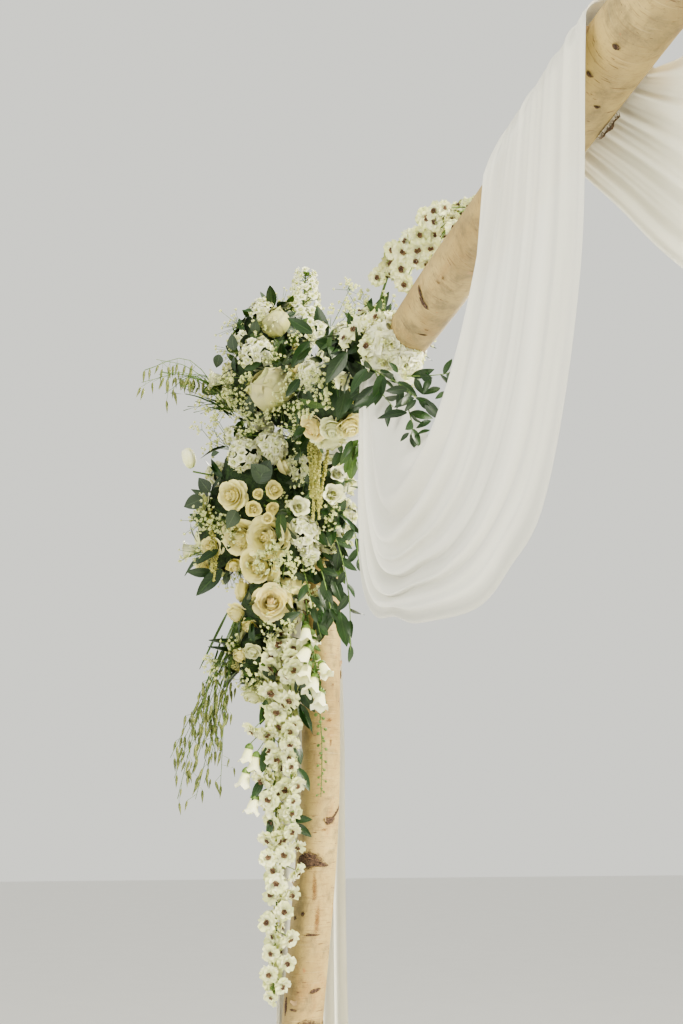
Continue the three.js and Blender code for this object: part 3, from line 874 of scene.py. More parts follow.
def cornerRows():
    # the band winds toward the beam's end, turns round it, and then falls as the tail
    made = cornerScarf
    v = np.linspace(0, 1, made["columns"])[None, :]
    u = np.linspace(0, 1, made["windRows"])[:, None]
    start, way = made["windStart"], made["endPlace"] - made["windStart"]
    turns = math.ceil(-way / made["pitch"])
    width = made["bandWidth"] * (1 - 0.62 * smoothstep(u, 0.86, 1.0))
    x = start + way * smoothstep(u, -0.35, 0.97) + (v - 0.5) * width
    x = np.maximum(x, -arch["beamOverhang"] + 0.004 + 0.002 * v)
    crease = sum(height * np.maximum(0, np.sin(2 * math.pi * (across * v + along * u))) ** 2
                 for across, along, height in made["creases"])
    radius = arch["beamRadius"] + made["lift"] + 0.0022 * (1 - v) + crease + 0.003 * u
    # painted shade on the band, lighter on the ridges of its creases
    wind = roundBeam(x, radius, math.pi * 0.5 + 2 * math.pi * (turns * (1 - u)), 0.55 - 200 * crease)
    return np.concatenate([wind, tailRows(wind[-1], v)[1:]])


def tailRows(start, v):
    made = cornerScarf
    folds = made["tailFolds"]
    t = np.linspace(0, 1, made["tailRows"])[:, None]
    neck = smoothstep(t, 0, 0.3)
    top, waist, hem = made["tailHalf"]
    half = top + (waist - top) * neck
    half = half + (hem - half) * np.clip((t - 0.3) / 0.7, 0, 1) ** 2.2
    wave = np.sin(2 * math.pi * (folds * v + 0.1 * np.sin(3 * t)))
    wave = wave + 0.35 * np.sin(2 * math.pi * (2.2 * folds * v + 0.3 * t + 0.2))
    x = -0.077 - 0.008 * t + (0.004 + 0.013 * t) * wave
    across = (v - 0.5) * 2 * half + 0.25 * half / folds * np.cos(2 * math.pi * folds * v)
    height = start[:, 2].mean()
    z = height + (made["tailBottom"] - height) * t + 0.006 * np.sin(2 * math.pi * folds * v) * t ** 6
    # painted shade in the valleys of the tail's folds
    tail = np.stack([x, arch["jointY"] - 0.007 * neck + across, z, np.clip(0.4 - 0.4 * wave, 0, 1)], -1)
    blend = smoothstep(t, 0, 0.05)[..., None]
    tail = start[None] * (1 - blend) + tail * blend
    tail[..., 2] = np.where(t < 0.05, start[None, :, 2] * (1 - t / 0.05) + z * (t / 0.05), z)
    return tail


def addScarves():
    middle = addMiddleScarf()
    left = clothPiece("scarfLeft", cornerRows(), cornerScarf["flatSize"][0])
    right = mirrorPiece(left, "scarfRight")
    declare({middle: ["front_swag", "middle_beam_wrap", "back_swag"], left: ["left_beam_wrap", "left_tail"],
             right: ["right_beam_wrap", "right_tail"]})


# Places seen in the photograph. Image columns and rows lead through the camera to a plane or a clump.
def seenRay(column, row):
    pitch = math.radians(view["pitch"])
    turn = math.radians(90 - view["turn"])
    ahead = np.array([-math.cos(turn) * math.cos(pitch), math.sin(turn) * math.cos(pitch), math.sin(pitch)])
    right = np.array([math.sin(turn), math.cos(turn), 0.0])
    upward = np.cross(right, ahead)
    aside, down = column - view["width"] / 2, row - view["height"] / 2
    return ahead + right * aside / focal - upward * down / focal


def seenAt(column, row, axis, value):
    # where the sight line crosses the plane X or Y = value
    ray = seenRay(column, row)
    return eye + ray * (value - eye[axis]) / ray[axis]


def ballOf(clump):
    # middle and half sizes of a clump, in the frame
    x, y, z, *size = clump
    return np.array([x, arch["jointY"] + y, z]), np.array(size)


def seenOn(column, row, own):
    # first meeting of the sight line with the clumps, and the way out of the clump there
    ray = seenRay(column, row)
    best = None
    for centre, size in map(ballOf, own):
        a, b = (eye - centre) / size, ray / size
        inside = (a @ b) ** 2 - (b @ b) * (a @ a - 1)
        at = (-(a @ b) - math.sqrt(max(inside, 0))) / (b @ b)
        miss = max(0.0, -inside)
        if best is None or (miss, at) < best[:2]:
            best = (miss, at, (a + b * at) / size)
    return eye + ray * best[1], unit(best[2])


def seenBeside(column, row, place):
    # on the sight line of the column and row, as far from the camera as the place
    ray = seenRay(column, row)
    return eye + ray * (ray @ (place - eye)) / (ray @ ray)


def seenSize(pixels, place):
    return pixels / focal * np.linalg.norm(place - eye)


def toViewer(place):
    return unit(eye - place)


up = np.array([0, 0, 1.0])


def unit(vector):
    return vector / np.linalg.norm(vector)


def jitter(spread):
    return rng.normal(size=3) * spread


# Petals. A petal leans from the bloom's axis by the angles in lean at its base, middle and tip.
def petalGrid(layer, azimuth, phase, tone):
    rows, columns = layer["grid"]
    u = np.linspace(-1, 1, columns + 1)[None, :]
    v = np.linspace(0, 1, rows + 1)[:, None]
    reach = v * (1 - layer.get("corner", 0.3) * np.abs(u) ** 2.6 * v)
    steps = 32
    fine = np.linspace(0, 1, steps + 1)
    lean = np.radians(np.interp(fine, [0, 0.5, 1], layer["lean"]))
    step = layer["length"] / steps
    radius = np.interp(reach, fine, layer["base"] + runningSum(np.sin(lean), step))
    height = np.interp(reach, fine, layer["rise"] + runningSum(np.cos(lean), step))
    tilt = np.interp(reach, fine, lean)
    width = layer["half"] * (0.28 + 0.72 * np.sin(math.pi / 2 * np.minimum(1, reach / 0.62)))
    wrap = np.maximum(radius, layer["half"] * 0.7)
    bend = u * width / wrap
    out = radius - wrap + wrap * np.cos(bend)
    side = wrap * np.sin(bend)
    ruffle = layer["ruffle"] * layer["length"] * reach ** 2
    wave = ruffle * np.sin(layer.get("waves", 3.3) * u + phase)
    out = out - np.cos(tilt) * wave
    height = height + np.sin(tilt) * wave
    x = out * math.cos(azimuth) - side * math.sin(azimuth)
    y = out * math.sin(azimuth) + side * math.cos(azimuth)
    points = np.stack([x, y, height], -1).reshape(-1, 3)
    return points, marksOf(u, v, tone), gridFaces(rows + 1, columns + 1)


def runningSum(slopes, step):
    return np.concatenate([[0], np.cumsum((slopes[1:] + slopes[:-1]) / 2 * step)])


def marksOf(u, v, tone):
    # place across the petal, place along it, and its layer
    return np.stack([u + 0 * v, v + 0 * u, 0 * (u + v) + tone], -1).reshape(-1, 3)


def templatePiece(name, points, marks, faces):
    piece = meshPiece(name, points, faces, smooth=True)
    storeVectors(piece, "petalPlace", marks)
    templates.append(piece)


def bloomTemplate(name, rows, seed, centred):
    local = np.random.default_rng(seed)
    points, marks, faces = [], [], []
    done = 0
    for number, row in enumerate(rows):
        layer = dict(zip(layerTerms, row), **dict(*row[len(layerTerms):]))
        start = local.uniform(0, 2 * math.pi)
        for petal in range(layer["count"]):
            azimuth = start + 2 * math.pi * petal / layer["count"] + local.normal() * 0.1
            one = dict(layer, length=layer["length"] * local.uniform(0.94, 1.06))
            one["lean"] = [angle + local.normal() * layer.get("loose", 4.0) for angle in layer["lean"]]
            phase, tone = local.uniform(*anyPhase), (number + local.random()) / len(rows)
            grid, mark, face = petalGrid(one, azimuth, phase, tone)
            faces += [tuple(done + i for i in f) for f in face]
            points.append(grid)
            marks.append(mark)
            done += len(grid)
    points = np.concatenate(points)
    if centred:
        points[:, 2] -= (points[:, 2].min() + points[:, 2].max()) / 2
    points /= np.linalg.norm(points[:, :2], axis=1).max()
    templatePiece(name, points, np.concatenate(marks), faces)


def leafTemplate(name, half, rows, columns, fold, bend, blunt, seed=0):
    # base at the origin, one unit long up +Z, the upper face toward +X
    u = np.linspace(-1, 1, columns + 1)[None, :]
    v = np.linspace(0, 1, rows + 1)[:, None]
    width = half * np.sin(math.pi * np.clip(v, 0.02, 0.995) ** blunt) ** 0.8 + 0.004
    across = u * width
    x = fold * np.abs(across) - bend * v ** 2 + 0.012 * np.sin(9 * v + 4 * u + seed) * np.abs(u)
    z = v * math.cos(bend * 0.7) + 0 * u
    points = np.stack([x, across, z], -1).reshape(-1, 3)
    templatePiece(name, points, marksOf(u, v, 0), gridFaces(rows + 1, columns + 1))


def lathedTemplate(name, sides, profile, lobes=0, lobeDepth=0.0):
    # profile: places along +Z and radii
    points, marks = [], []
    for place, radius in profile:
        for side in range(sides):
            angle = 2 * math.pi * side / sides
            flare = lobeDepth * math.cos(lobes * angle) * max(0.0, place - 0.7) / 0.3
            points.append((radius * math.cos(angle), radius * math.sin(angle), place + flare))
            marks.append((math.sin(angle), place, 0.5))
    templatePiece(name, points, marks, gridFaces(len(profile), sides, closed=True))


# Petal layers of each bloom from the inside out: how many petals, radius and height of their foot,
# length, half width, lean, ruffle of the edge, rows and columns of the mesh. Some have their own waves
# (of the ruffle), corner (how far the corners are rounded) or loose (spread of the lean in degrees).
layerTerms = ("count", "base", "rise", "length", "half", "lean", "ruffle", "grid")
blooms = {
    "rose": [
        (3, 0.001, 0.012, 0.022, 0.0085, (10, -18, -76), 0.02, (4, 4)),
        (4, 0.002, 0.009, 0.025, 0.0125, (24, -8, -40), 0.02, (4, 4)),
        (5, 0.004, 0.006, 0.027, 0.015, (40, -2, -18), 0.02, (4, 4)),
        (5, 0.006, 0.003, 0.029, 0.018, (58, 2, 0), 0.03, (4, 4)),
        (6, 0.008, 0.001, 0.031, 0.02, (74, 8, 20), 0.03, (5, 5)),
        (6, 0.009, -0.001, 0.033, 0.022, (86, 14, 44), 0.03, (5, 5)),
        (6, 0.009, -0.003, 0.033, 0.024, (94, 34, 84), 0.04, (5, 5)),
        (5, 0.008, -0.005, 0.03, 0.025, (98, 70, 112), 0.04, (5, 5)),
    ],
    "peony": [
        (5, 0.002, 0.01, 0.078, 0.05, (74, 2, -90), 0.006, (7, 7), {"corner": 0.1, "loose": 1.5}),
        (4, 0.008, 0.004, 0.086, 0.056, (84, 12, -70), 0.008, (7, 7), {"corner": 0.14, "loose": 2}),
        (3, 0.008, 0, 0.08, 0.056, (90, 18, -56), 0.01, (7, 7), {"corner": 0.18, "loose": 2}),
    ],
    "gardenRose": [
        (4, 0.002, 0.014, 0.025, 0.01, (14, -6, -44), 0.05, (4, 4)),
        (5, 0.003, 0.011, 0.029, 0.013, (30, -2, -26), 0.06, (4, 4)),
        (6, 0.004, 0.008, 0.032, 0.016, (42, 2, -18), 0.07, (4, 4)),
        (7, 0.006, 0.005, 0.034, 0.019, (54, 4, -10), 0.07, (4, 4)),
        (8, 0.007, 0.003, 0.036, 0.021, (64, 8, 2), 0.07, (4, 4)),
        (8, 0.008, 0.001, 0.038, 0.024, (74, 14, 20), 0.07, (4, 4), {"corner": 0.2}),
        (8, 0.009, -0.001, 0.041, 0.027, (84, 26, 46), 0.06, (4, 4), {"corner": 0.2}),
        (7, 0.009, -0.003, 0.043, 0.03, (96, 50, 84), 0.06, (5, 5), {"corner": 0.2}),
    ],
    "sprayRose": [
        (3, 0.0005, 0.011, 0.018, 0.0075, (6, -20, -80), 0.04, (4, 4)),
        (4, 0.001, 0.009, 0.02, 0.0095, (16, -4, -30), 0.04, (4, 4)),
        (5, 0.002, 0.006, 0.022, 0.0115, (32, 2, -16), 0.04, (4, 4)),
        (6, 0.003, 0.003, 0.024, 0.0135, (50, 6, -4), 0.05, (4, 4)),
        (6, 0.004, 0.001, 0.026, 0.0165, (68, 12, 12), 0.06, (4, 4), {"corner": 0.16}),
        (6, 0.004, -0.002, 0.026, 0.0185, (88, 34, 50), 0.05, (4, 4), {"corner": 0.16}),
    ],
    "lisianthus": [
        (4, 0.001, 0.003, 0.028, 0.012, (12, -6, -8), 0.08, (5, 5)),
        (5, 0.002, 0, 0.036, 0.016, (22, 6, 28), 0.06, (5, 5)),
        (5, 0.003, 0, 0.042, 0.02, (40, 20, 62), 0.08, (5, 5)),
    ],
    "bud": [
        (3, 0.003, 0, 0.04, 0.014, (46, 0, -34), 0.02, (6, 5)),
        (3, 0.004, -0.001, 0.038, 0.015, (54, 2, -26), 0.02, (6, 5)),
    ],
    "stock": [
        (4, 0.001, 0.003, 0.013, 0.008, (10, 20, 70), 0.2, (2, 1)),
        (5, 0.001, 0, 0.018, 0.0115, (50, 62, 104), 0.2, (3, 2)),
    ],
    "delphinium": [
        (5, 0.0012, 0, 0.022, 0.0125, (56, 80, 104), 0.21, (3, 5),
         {"waves": 7, "corner": 0.1, "loose": 19}),
        (5, 0.001, 0.0012, 0.015, 0.0085, (52, 70, 88), 0.2, (2, 3), {"waves": 6, "loose": 18}),
    ],
    "heart": [
        (5, 0.0006, 0.0052, 0.006, 0.0026, (40, 66, 96), 0.2, (2, 1), {"loose": 22}),
        (4, 0.0003, 0.0056, 0.003, 0.0016, (-10, 10, 40), 0.02, (1, 1), {"loose": 22}),
    ],
    "speck": [
        (5, 0.0002, 0, 0.0036, 0.0017, (35, 70, 105), 0.02, (1, 1), {"loose": 14}),
        (3, 0.0001, 0.0008, 0.0028, 0.0014, (10, 30, 60), 0.02, (1, 1)),
    ],
}


def petalMaterial(name, tip, middle, throat, throatReach=0.3):
    finish = newMaterial(name, tip, 0.55)
    setInputs(finish.shader, {"Subsurface Weight": 0.42, "Subsurface Radius": (0.016, 0.015, 0.009),
                              "Subsurface Scale": 0.6, "Sheen Weight": 0.15})
    _, height, layer = split(finish, coordinates(finish, "petalPlace"))
    rim = tuple(0.97 * c for c in tip)
    colour = ramp(finish, height, [(0.0, throat), (throatReach, middle), (0.92, tip), (1.0, rim)])
    deep = tuple(c * k for c, k in zip(middle, (0.94, 0.92, 0.82)))
    colour = tint(finish, colour, stored(finish, "shade"), 0.35, deep)
    heart = tuple((m + t) / 2 for m, t in zip(middle, throat))
    colour = tint(finish, colour, band(finish, layer, 0.5, 0.05), 0.75, heart)
    stains = band(finish, noise(finish, "Object", 55.0, 3), 0.55, 0.75)
    finish.link(tint(finish, colour, stains, 0.22, middle), finish.shader.inputs["Base Color"])
    bump(finish, noise(finish, "petalPlace", 9.0, 3, (1.6, 0.25, 0.4), 0.6), 0.0014, 0.25)
    return finish.material


def leafMaterial(name, upper, deep, rib, roughness):
    finish = newMaterial(name, upper, roughness)
    setInputs(finish.shader, {"Subsurface Weight": 0.08, "Subsurface Radius": (0.006, 0.012, 0.003),
                              "Subsurface Scale": 0.4})
    across, height, _ = split(finish, coordinates(finish, "petalPlace"))
    side = maths(finish, "ABSOLUTE", across)
    colour = blendColour(finish, stored(finish, "shade"), upper, deep)
    colour = tint(finish, colour, noise(finish, "Object", 42.0, 4), 0.4, deep)
    slant = maths(finish, "SUBTRACT", times(finish, height, 46.0), times(finish, side, 12.0))
    ribs = times(finish, band(finish, maths(finish, "SINE", slant), 0.78, 1.0), 0.28)
    marks = maths(finish, "MAXIMUM", ribs, times(finish, band(finish, side, 0.09, 0.03), 0.8))
    mixColours(finish, marks, colour, rib)
    bump(finish, marks, 0.0006, 0.5)
    return finish.material


def mossMaterial(name, dark, light, roughness=0.9):
    finish = newMaterial(name, dark, roughness)
    cloud = noise(finish, "Object", 130.0, 5, (1, 1, 1), 0.7)
    mixColours(finish, band(finish, cloud, 0.35, 0.7), dark, light)
    bump(finish, cloud, 0.003, 0.8)
    return finish.material


# Geometry Nodes: one tree sets copies of a bloom on points, the other makes stems from lines
def placingTree():
    sockets = {"Geometry": ("Geometry",), "Bloom": ("Object",), "Finish": ("Material",),
               "Size": ("Float", 1.0), "Size Spread": ("Float", 0.06), "Seed": ("Int",)}
    parts = {
        "bloom": ("GeometryNodeObjectInfo", {}),
        "turn": ("GeometryNodeInputNamedAttribute", {"data_type": "FLOAT_VECTOR"}, {"Name": "turn"}),
        "size": ("GeometryNodeInputNamedAttribute", {"data_type": "FLOAT"}, {"Name": "size"}),
        "rotation": ("FunctionNodeEulerToRotation", {}),
        "spread": ("FunctionNodeRandomValue", {"data_type": "FLOAT"}),
        "low": ("ShaderNodeMath", {"operation": "SUBTRACT"}, {0: 1.0}),
        "high": ("ShaderNodeMath", {"operation": "ADD"}, {0: 1.0}),
        "own": ("ShaderNodeMath", {"operation": "MULTIPLY"}),
        "whole": ("ShaderNodeMath", {"operation": "MULTIPLY"}),
        "copies": ("GeometryNodeInstanceOnPoints", {}),
        "solid": ("GeometryNodeRealizeInstances", {}),
        "paint": ("GeometryNodeSetMaterial", {}),
    }
    return buildTree("placeBlooms", "GeometryNodeTree", sockets, ("Geometry", "Geometry"), parts, [
        "in.Geometry > copies.Points", "in.Bloom > bloom.Object", "bloom.Geometry > copies.Instance",
        "turn.Attribute > rotation.Euler", "rotation.Rotation > copies.Rotation",
        "in.Size Spread > low.1", "in.Size Spread > high.1", "low.Value > spread.2",
        "high.Value > spread.3", "in.Seed > spread.Seed", "size.Attribute > own.0", "spread.1 > own.1",
        "own.Value > whole.0", "in.Size > whole.1", "whole.Value > copies.Scale",
        "copies.Instances > solid.Geometry", "solid.Geometry > paint.Geometry",
        "in.Finish > paint.Material", "paint.Geometry > out.Geometry"])


def stemTree():
    sockets = {"Geometry": ("Geometry",), "Finish": ("Material",), "Sides": ("Int", 4)}
    parts = {
        "lines": ("GeometryNodeMeshToCurve", {}),
        "thickness": ("GeometryNodeInputNamedAttribute", {"data_type": "FLOAT"}, {"Name": "thickness"}),
        "ring": ("GeometryNodeCurvePrimitiveCircle", {}, {"Radius": 1.0}),
        "tube": ("GeometryNodeCurveToMesh", {}, {"Fill Caps": True}),
        "solid": ("GeometryNodeRealizeInstances", {}),
        "paint": ("GeometryNodeSetMaterial", {}),
    }
    return buildTree("stemTubes", "GeometryNodeTree", sockets, ("Geometry", "Geometry"), parts, [
        "in.Geometry > lines.Mesh", "lines.Curve > tube.Curve", "thickness.Attribute > tube.Scale",
        "in.Sides > ring.Resolution", "ring.Curve > tube.Profile Curve", "tube.Mesh > solid.Geometry",
        "solid.Geometry > paint.Geometry", "in.Finish > paint.Material", "paint.Geometry > out.Geometry"])


def socketOf(tree, label):
    for item in tree.interface.items_tree:
        if item.item_type == "SOCKET" and item.in_out == "INPUT" and item.name == label:
            return item.identifier
    raise KeyError(label)


def plainMesh(seedPiece, tree, values, name):
    # runs the tree once and keeps the result as an ordinary mesh
    modifier = seedPiece.modifiers.new("grow", "NODES")
    modifier.node_group = tree
    for label, value in values.items():
        modifier[socketOf(tree, label)] = value
    graph = bpy.context.evaluated_depsgraph_get()
    mesh = bpy.data.meshes.new_from_object(seedPiece.evaluated_get(graph))
    seedPiece.modifiers.remove(modifier)
    bpy.data.objects.remove(seedPiece)
    return addObject(name, mesh)


# Bouquet of the left corner. A clump is x, y from the beam's line, z, and its three half sizes.
clumps = {
    "heartBlooms": [
        (0.045, -0.15, 2.22, 0.13, 0.095, 0.15), (0.02, -0.2, 2.15, 0.095, 0.075, 0.11),
        (0.09, -0.095, 2.12, 0.085, 0.085, 0.11), (0.1, -0.025, 2.205, 0.075, 0.075, 0.12),
    ],
    "crownBlooms": [
        (0.01, -0.115, 2.46, 0.12, 0.105, 0.11), (0.07, -0.07, 2.42, 0.11, 0.105, 0.09),
        (0, -0.12, 2.56, 0.085, 0.075, 0.085),
    ],
    "lowerBlooms": [(0.06, -0.12, 1.99, 0.085, 0.065, 0.08), (0.04, -0.14, 1.89, 0.06, 0.05, 0.06)],
    "shoulderBlooms": [
        (0.29, 0.015, 2.43, 0.12, 0.08, 0.075), (0.4, 0.035, 2.42, 0.085, 0.065, 0.06),
        (0.59, -0.005, 2.345, 0.105, 0.072, 0.072), (0.38, -0.05, 2.325, 0.17, 0.066, 0.084),
        (0.69, -0.036, 2.312, 0.11, 0.058, 0.062),
    ],
}

# What each kind is made of: template, finish and, where it is smaller than the bloom, its relative size
kinds = {
    "creamRose": [("rose", "roseCream")], "peachRose": [("rose", "rosePeach")],
    "whiteRose": [("rose", "petalWhite")], "sprayRose": [("sprayRose", "roseYellow")],
    "gardenCream": [("gardenRose", "roseCream")], "gardenWhite": [("gardenRose", "petalWhite")],
    "gardenPeach": [("gardenRose", "rosePeach")], "peonyBlush": [("peony", "peonyBlush")],
    "lisianthus": [("lisianthus", "petalGreenWhite"), ("pistil", "stemGreen")],
    "bud": [("bud", "petalGreenWhite"), ("calyx", "stemGreen")],
    "bell": [("bell", "petalGreenWhite"), ("calyx", "stemGreen")],
    "delphinium": [("delphinium", "petalWhite"), ("heart", "brownEye", 0.31)],
    "stockFloret": [("stock", "petalGreenWhite")], "tinyWhite": [("speck", "petalWhite")],
    "glossyLeaf": [("pointedLeaf", "glossyLeafGreen")], "softLeaf": [("pointedLeaf", "freshLeafGreen")],
    "roundLeaf": [("roundLeaf", "sageLeafGreen")], "innerGlossy": [("plainLeaf", "glossyLeafGreen")],
    "innerSoft": [("plainLeaf", "freshLeafGreen")], "grassBlade": [("bladeLeaf", "freshLeafGreen")],
    "woolBead": [("bead", "amaranthGreen")], "oat": [("oat", "oatGreen")],
    "greenBud": [("pea", "stemGreen")],
}

# Blooms that can be picked out in the photograph: kind, column, row, radius in image pixels, sink
seenBlooms = {
    "crownBlooms": [
        ("peonyBlush", 265.5, 388.5, 22.5, 0.01), ("peonyBlush", 277, 321, 15, 0.005),
        ("lisianthus", 321.6, 354, 11, 0.008), ("sprayRose", 301, 343, 6.5, 0.01),
        ("creamRose", 300, 368, 12, 0.012),
    ],
    "heartBlooms": [
        ("creamRose", 227.7, 495.4, 17, 0.004), ("sprayRose", 272, 490, 10, -0.014),
        ("sprayRose", 253.7, 508.5, 9, -0.012), ("sprayRose", 270, 507.5, 7, -0.016),
        ("sprayRose", 269, 520, 6.5, -0.014), ("sprayRose", 258, 494, 6, -0.004),
        ("lisianthus", 334, 493, 12.5, 0.012), ("lisianthus", 339, 474, 10, 0.014),
        ("lisianthus", 296, 510, 12, -0.006), ("gardenCream", 237, 544, 23, 0.004),
        ("gardenCream", 263, 537, 26, 0.004), ("gardenCream", 254, 568, 25, 0),
        ("creamRose", 205, 550, 13, 0.012), ("creamRose", 192, 575, 11, 0.02),
        ("bud", 195.2, 468, 7, -0.01),
    ],
    "lowerBlooms": [
        ("gardenPeach", 271.6, 601.6, 20.5, 0.006), ("sprayRose", 291, 600, 11, 0.01),
        ("creamRose", 228.8, 617, 14, 0.012), ("creamRose", 246, 631, 11, 0.008),
        ("sprayRose", 236.4, 656, 11, 0.006), ("whiteRose", 250.5, 652, 10, 0.006),
        ("whiteRose", 253.3, 705, 15, 0.012),
    ],
    "shoulderBlooms": [
        ("peachRose", 309, 431, 18, 0.004), ("whiteRose", 332, 434, 15, 0.002),
        ("creamRose", 351, 430, 16, 0), ("lisianthus", 345, 379, 11, 0.004), ("creamRose", 350, 389, 10, 0),
        ("creamRose", 354, 403, 9, 0), ("delphinium", 363, 314, 11, -0.004),
        ("delphinium", 377, 320, 11, -0.004), ("delphinium", 348, 339, 12, -0.006),
        ("delphinium", 358, 331, 11, -0.008), ("delphinium", 371, 345, 12, -0.012),
    ],
}

# Clusters of small florets, delphinium low on the post and stock elsewhere: column, row, radius of
# the cluster in pixels, florets, floret radius in metres, and the place along the beam of one that
# no clump carries
seenClusters = {
    "crownBlooms": [(253, 346, 18, 28, 0.014), (236, 338, 8, 6, 0.012), (322, 325, 9, 6, 0.013)],
    "heartBlooms": [
        (278, 441, 18, 30, 0.015), (238.6, 449, 17, 26, 0.014), (227.7, 430, 10, 8, 0.013),
        (313.4, 533, 19, 32, 0.015), (316, 556, 11, 8, 0.016),
    ],
    "lowerBlooms": [(281, 644, 9, 3, 0.022), (314, 606, 8, 2, 0.02)],
    "shoulderBlooms": [
        (389, 345, 29, 36, 0.024, 0.77), (404, 360, 18, 18, 0.023, 0.79), (371, 333, 19, 16, 0.021, 0.69),
        (357, 351, 14, 10, 0.02, 0.62), (391, 327, 15, 12, 0.021, 0.72),
    ],
}

# Clouds of tiny white flowers: column, row, half width and half height in pixels, how many
seenClouds = {
    "crownBlooms": [
        (345, 318, 18, 30, 90), (224, 398, 20, 20, 130), (240, 372, 14, 14, 60), (336, 352, 14, 16, 60),
    ],
    "heartBlooms": [
        (250, 428, 16, 11, 60), (282, 562, 26, 19, 210), (303, 476, 14, 12, 50), (214, 440, 14, 22, 70),
    ],
    "lowerBlooms": [
        (275, 626, 16, 12, 80), (308, 594, 13, 13, 70), (222, 667, 17, 9, 60), (253, 674, 13, 13, 80),
    ],
    "shoulderBlooms": [(313, 392, 26, 20, 190), (352, 300, 16, 14, 50)],
}

# Leaves that stand out: glossy, soft or round, column and row of the base, then of the tip
leafKinds = {"g": "glossyLeaf", "s": "softLeaf", "r": "roundLeaf"}
seenLeaves = {
    "crownBlooms": [
        ("g", 298, 334, 273, 319), ("g", 323, 342, 316, 306), ("g", 300, 340, 276, 345),
        ("r", 236, 352, 231, 332), ("r", 222, 356, 216, 370), ("r", 256, 336, 256, 320),
        ("r", 240, 408, 252, 396), ("r", 254, 412, 249, 392), ("r", 262, 404, 266, 388),
        ("g", 246, 370, 262, 364), ("s", 205, 392, 232, 384),
    ],
    "heartBlooms": [
        ("r", 268, 482, 248, 462), ("r", 258, 482, 272, 456), ("s", 281, 513, 281, 542),
        ("r", 238, 510, 228, 530), ("r", 212, 492, 198, 476), ("r", 205, 500, 182, 508),
        ("g", 332, 468, 342, 448), ("g", 296, 462, 304, 452), ("r", 214, 456, 222, 452),
        ("g", 214, 570, 188, 572), ("g", 222, 568, 198, 592), ("g", 330, 510, 337, 524),
        ("s", 338, 445, 346, 438), ("g", 322, 560, 336, 572), ("g", 330, 556, 344, 548),
        ("g", 318, 575, 338, 590), ("g", 326, 584, 344, 600), ("g", 334, 540, 346, 556),
        ("g", 312, 582, 326, 566), ("g", 336, 562, 328, 584), ("g", 342, 552, 334, 572),
        ("g", 320, 552, 334, 562), ("s", 296, 428, 307, 436), ("g", 306, 441, 297, 430),
        ("g", 298, 442, 309, 433),
    ],
    "lowerBlooms": [
        ("g", 296, 570, 326, 578), ("r", 262, 642, 276, 632), ("s", 262, 632, 250, 640),
        ("s", 262, 745, 258, 775), ("g", 324, 606, 311, 630), ("g", 326, 608, 315, 641),
        ("g", 328, 600, 338, 626), ("g", 337, 612, 347, 646), ("g", 322, 596, 303, 612),
        ("g", 330, 590, 350, 600), ("g", 318, 582, 334, 596), ("g", 324, 566, 345, 560),
        ("g", 326, 556, 342, 572), ("g", 330, 578, 340, 604), ("g", 320, 570, 332, 586),
        ("g", 316, 588, 328, 612), ("s", 334, 566, 342, 584), ("g", 322, 548, 340, 552),
    ],
    "shoulderBlooms": [
        ("g", 315, 335, 289, 318), ("g", 312, 343, 293, 368), ("g", 318, 343, 349, 352),
        ("g", 350, 352, 326, 382), ("g", 330, 350, 351, 372), ("g", 336, 372, 343, 418),
        ("g", 303, 380, 288, 397), ("s", 378, 318, 381, 299), ("s", 377, 316, 367, 305),
        ("g", 306, 408, 296, 424), ("g", 340, 402, 362, 412), ("g", 300, 362, 312, 350),
        ("g", 308, 426, 296, 434), ("g", 304, 424, 296, 438), ("s", 352, 441, 340, 464),
        ("s", 349, 476, 354, 452), ("s", 344, 470, 347, 456), ("s", 362, 476, 357, 460),
        ("g", 340, 450, 338, 439), ("s", 358, 442, 348, 458), ("s", 356, 438, 343, 450),
        ("g", 350, 438, 343, 456), ("s", 359, 440, 354, 456),
    ],
}

# Leaves of the sprig that reaches under the beam: base and tip. How near each lies follows its column.
shoulderLeaves = {
    "columns": [330, 365, 385, 395, 405, 420, 451], "places": [0.58, 0.76, 0.84, 0.89, 0.935, 0.965, 0.94],
    "seen": [
        (365, 363, 359, 327), (366, 353, 380, 368), (367, 369, 347, 393), (346, 386, 340, 421),
        (375, 386, 353, 410), (382, 374, 376, 405), (378, 398, 353, 405), (380, 370, 397, 382),
        (398, 382, 417, 395), (407, 389, 385, 391), (414, 398, 393, 406), (407, 413, 376, 415),
        (416, 398, 436, 405), (416, 400, 404, 411), (410, 413, 434, 417), (415, 378, 422, 395),
        (431, 377, 422, 394), (440, 388, 424, 393), (444, 374, 451, 358), (446, 392, 436, 398),
        (431, 421, 415, 427), (430, 430, 416, 433), (409, 433, 399, 441), (410, 438, 419, 450),
        (352, 350, 338, 338), (356, 352, 372, 346), (350, 356, 330, 351), (347, 360, 330, 374),
        (398, 372, 390, 362), (352, 398, 344, 412),
    ],
    "stems": [
        [(340, 352), (358, 362), (375, 371), (396, 382), (415, 397), (428, 402)],
        [(375, 370), (383, 395), (393, 407)], [(408, 408), (413, 426), (411, 436)],
        [(407, 376), (425, 376), (444, 374), (451, 372)],
    ],
    "root": (0.5, -0.06, 2.38),
}

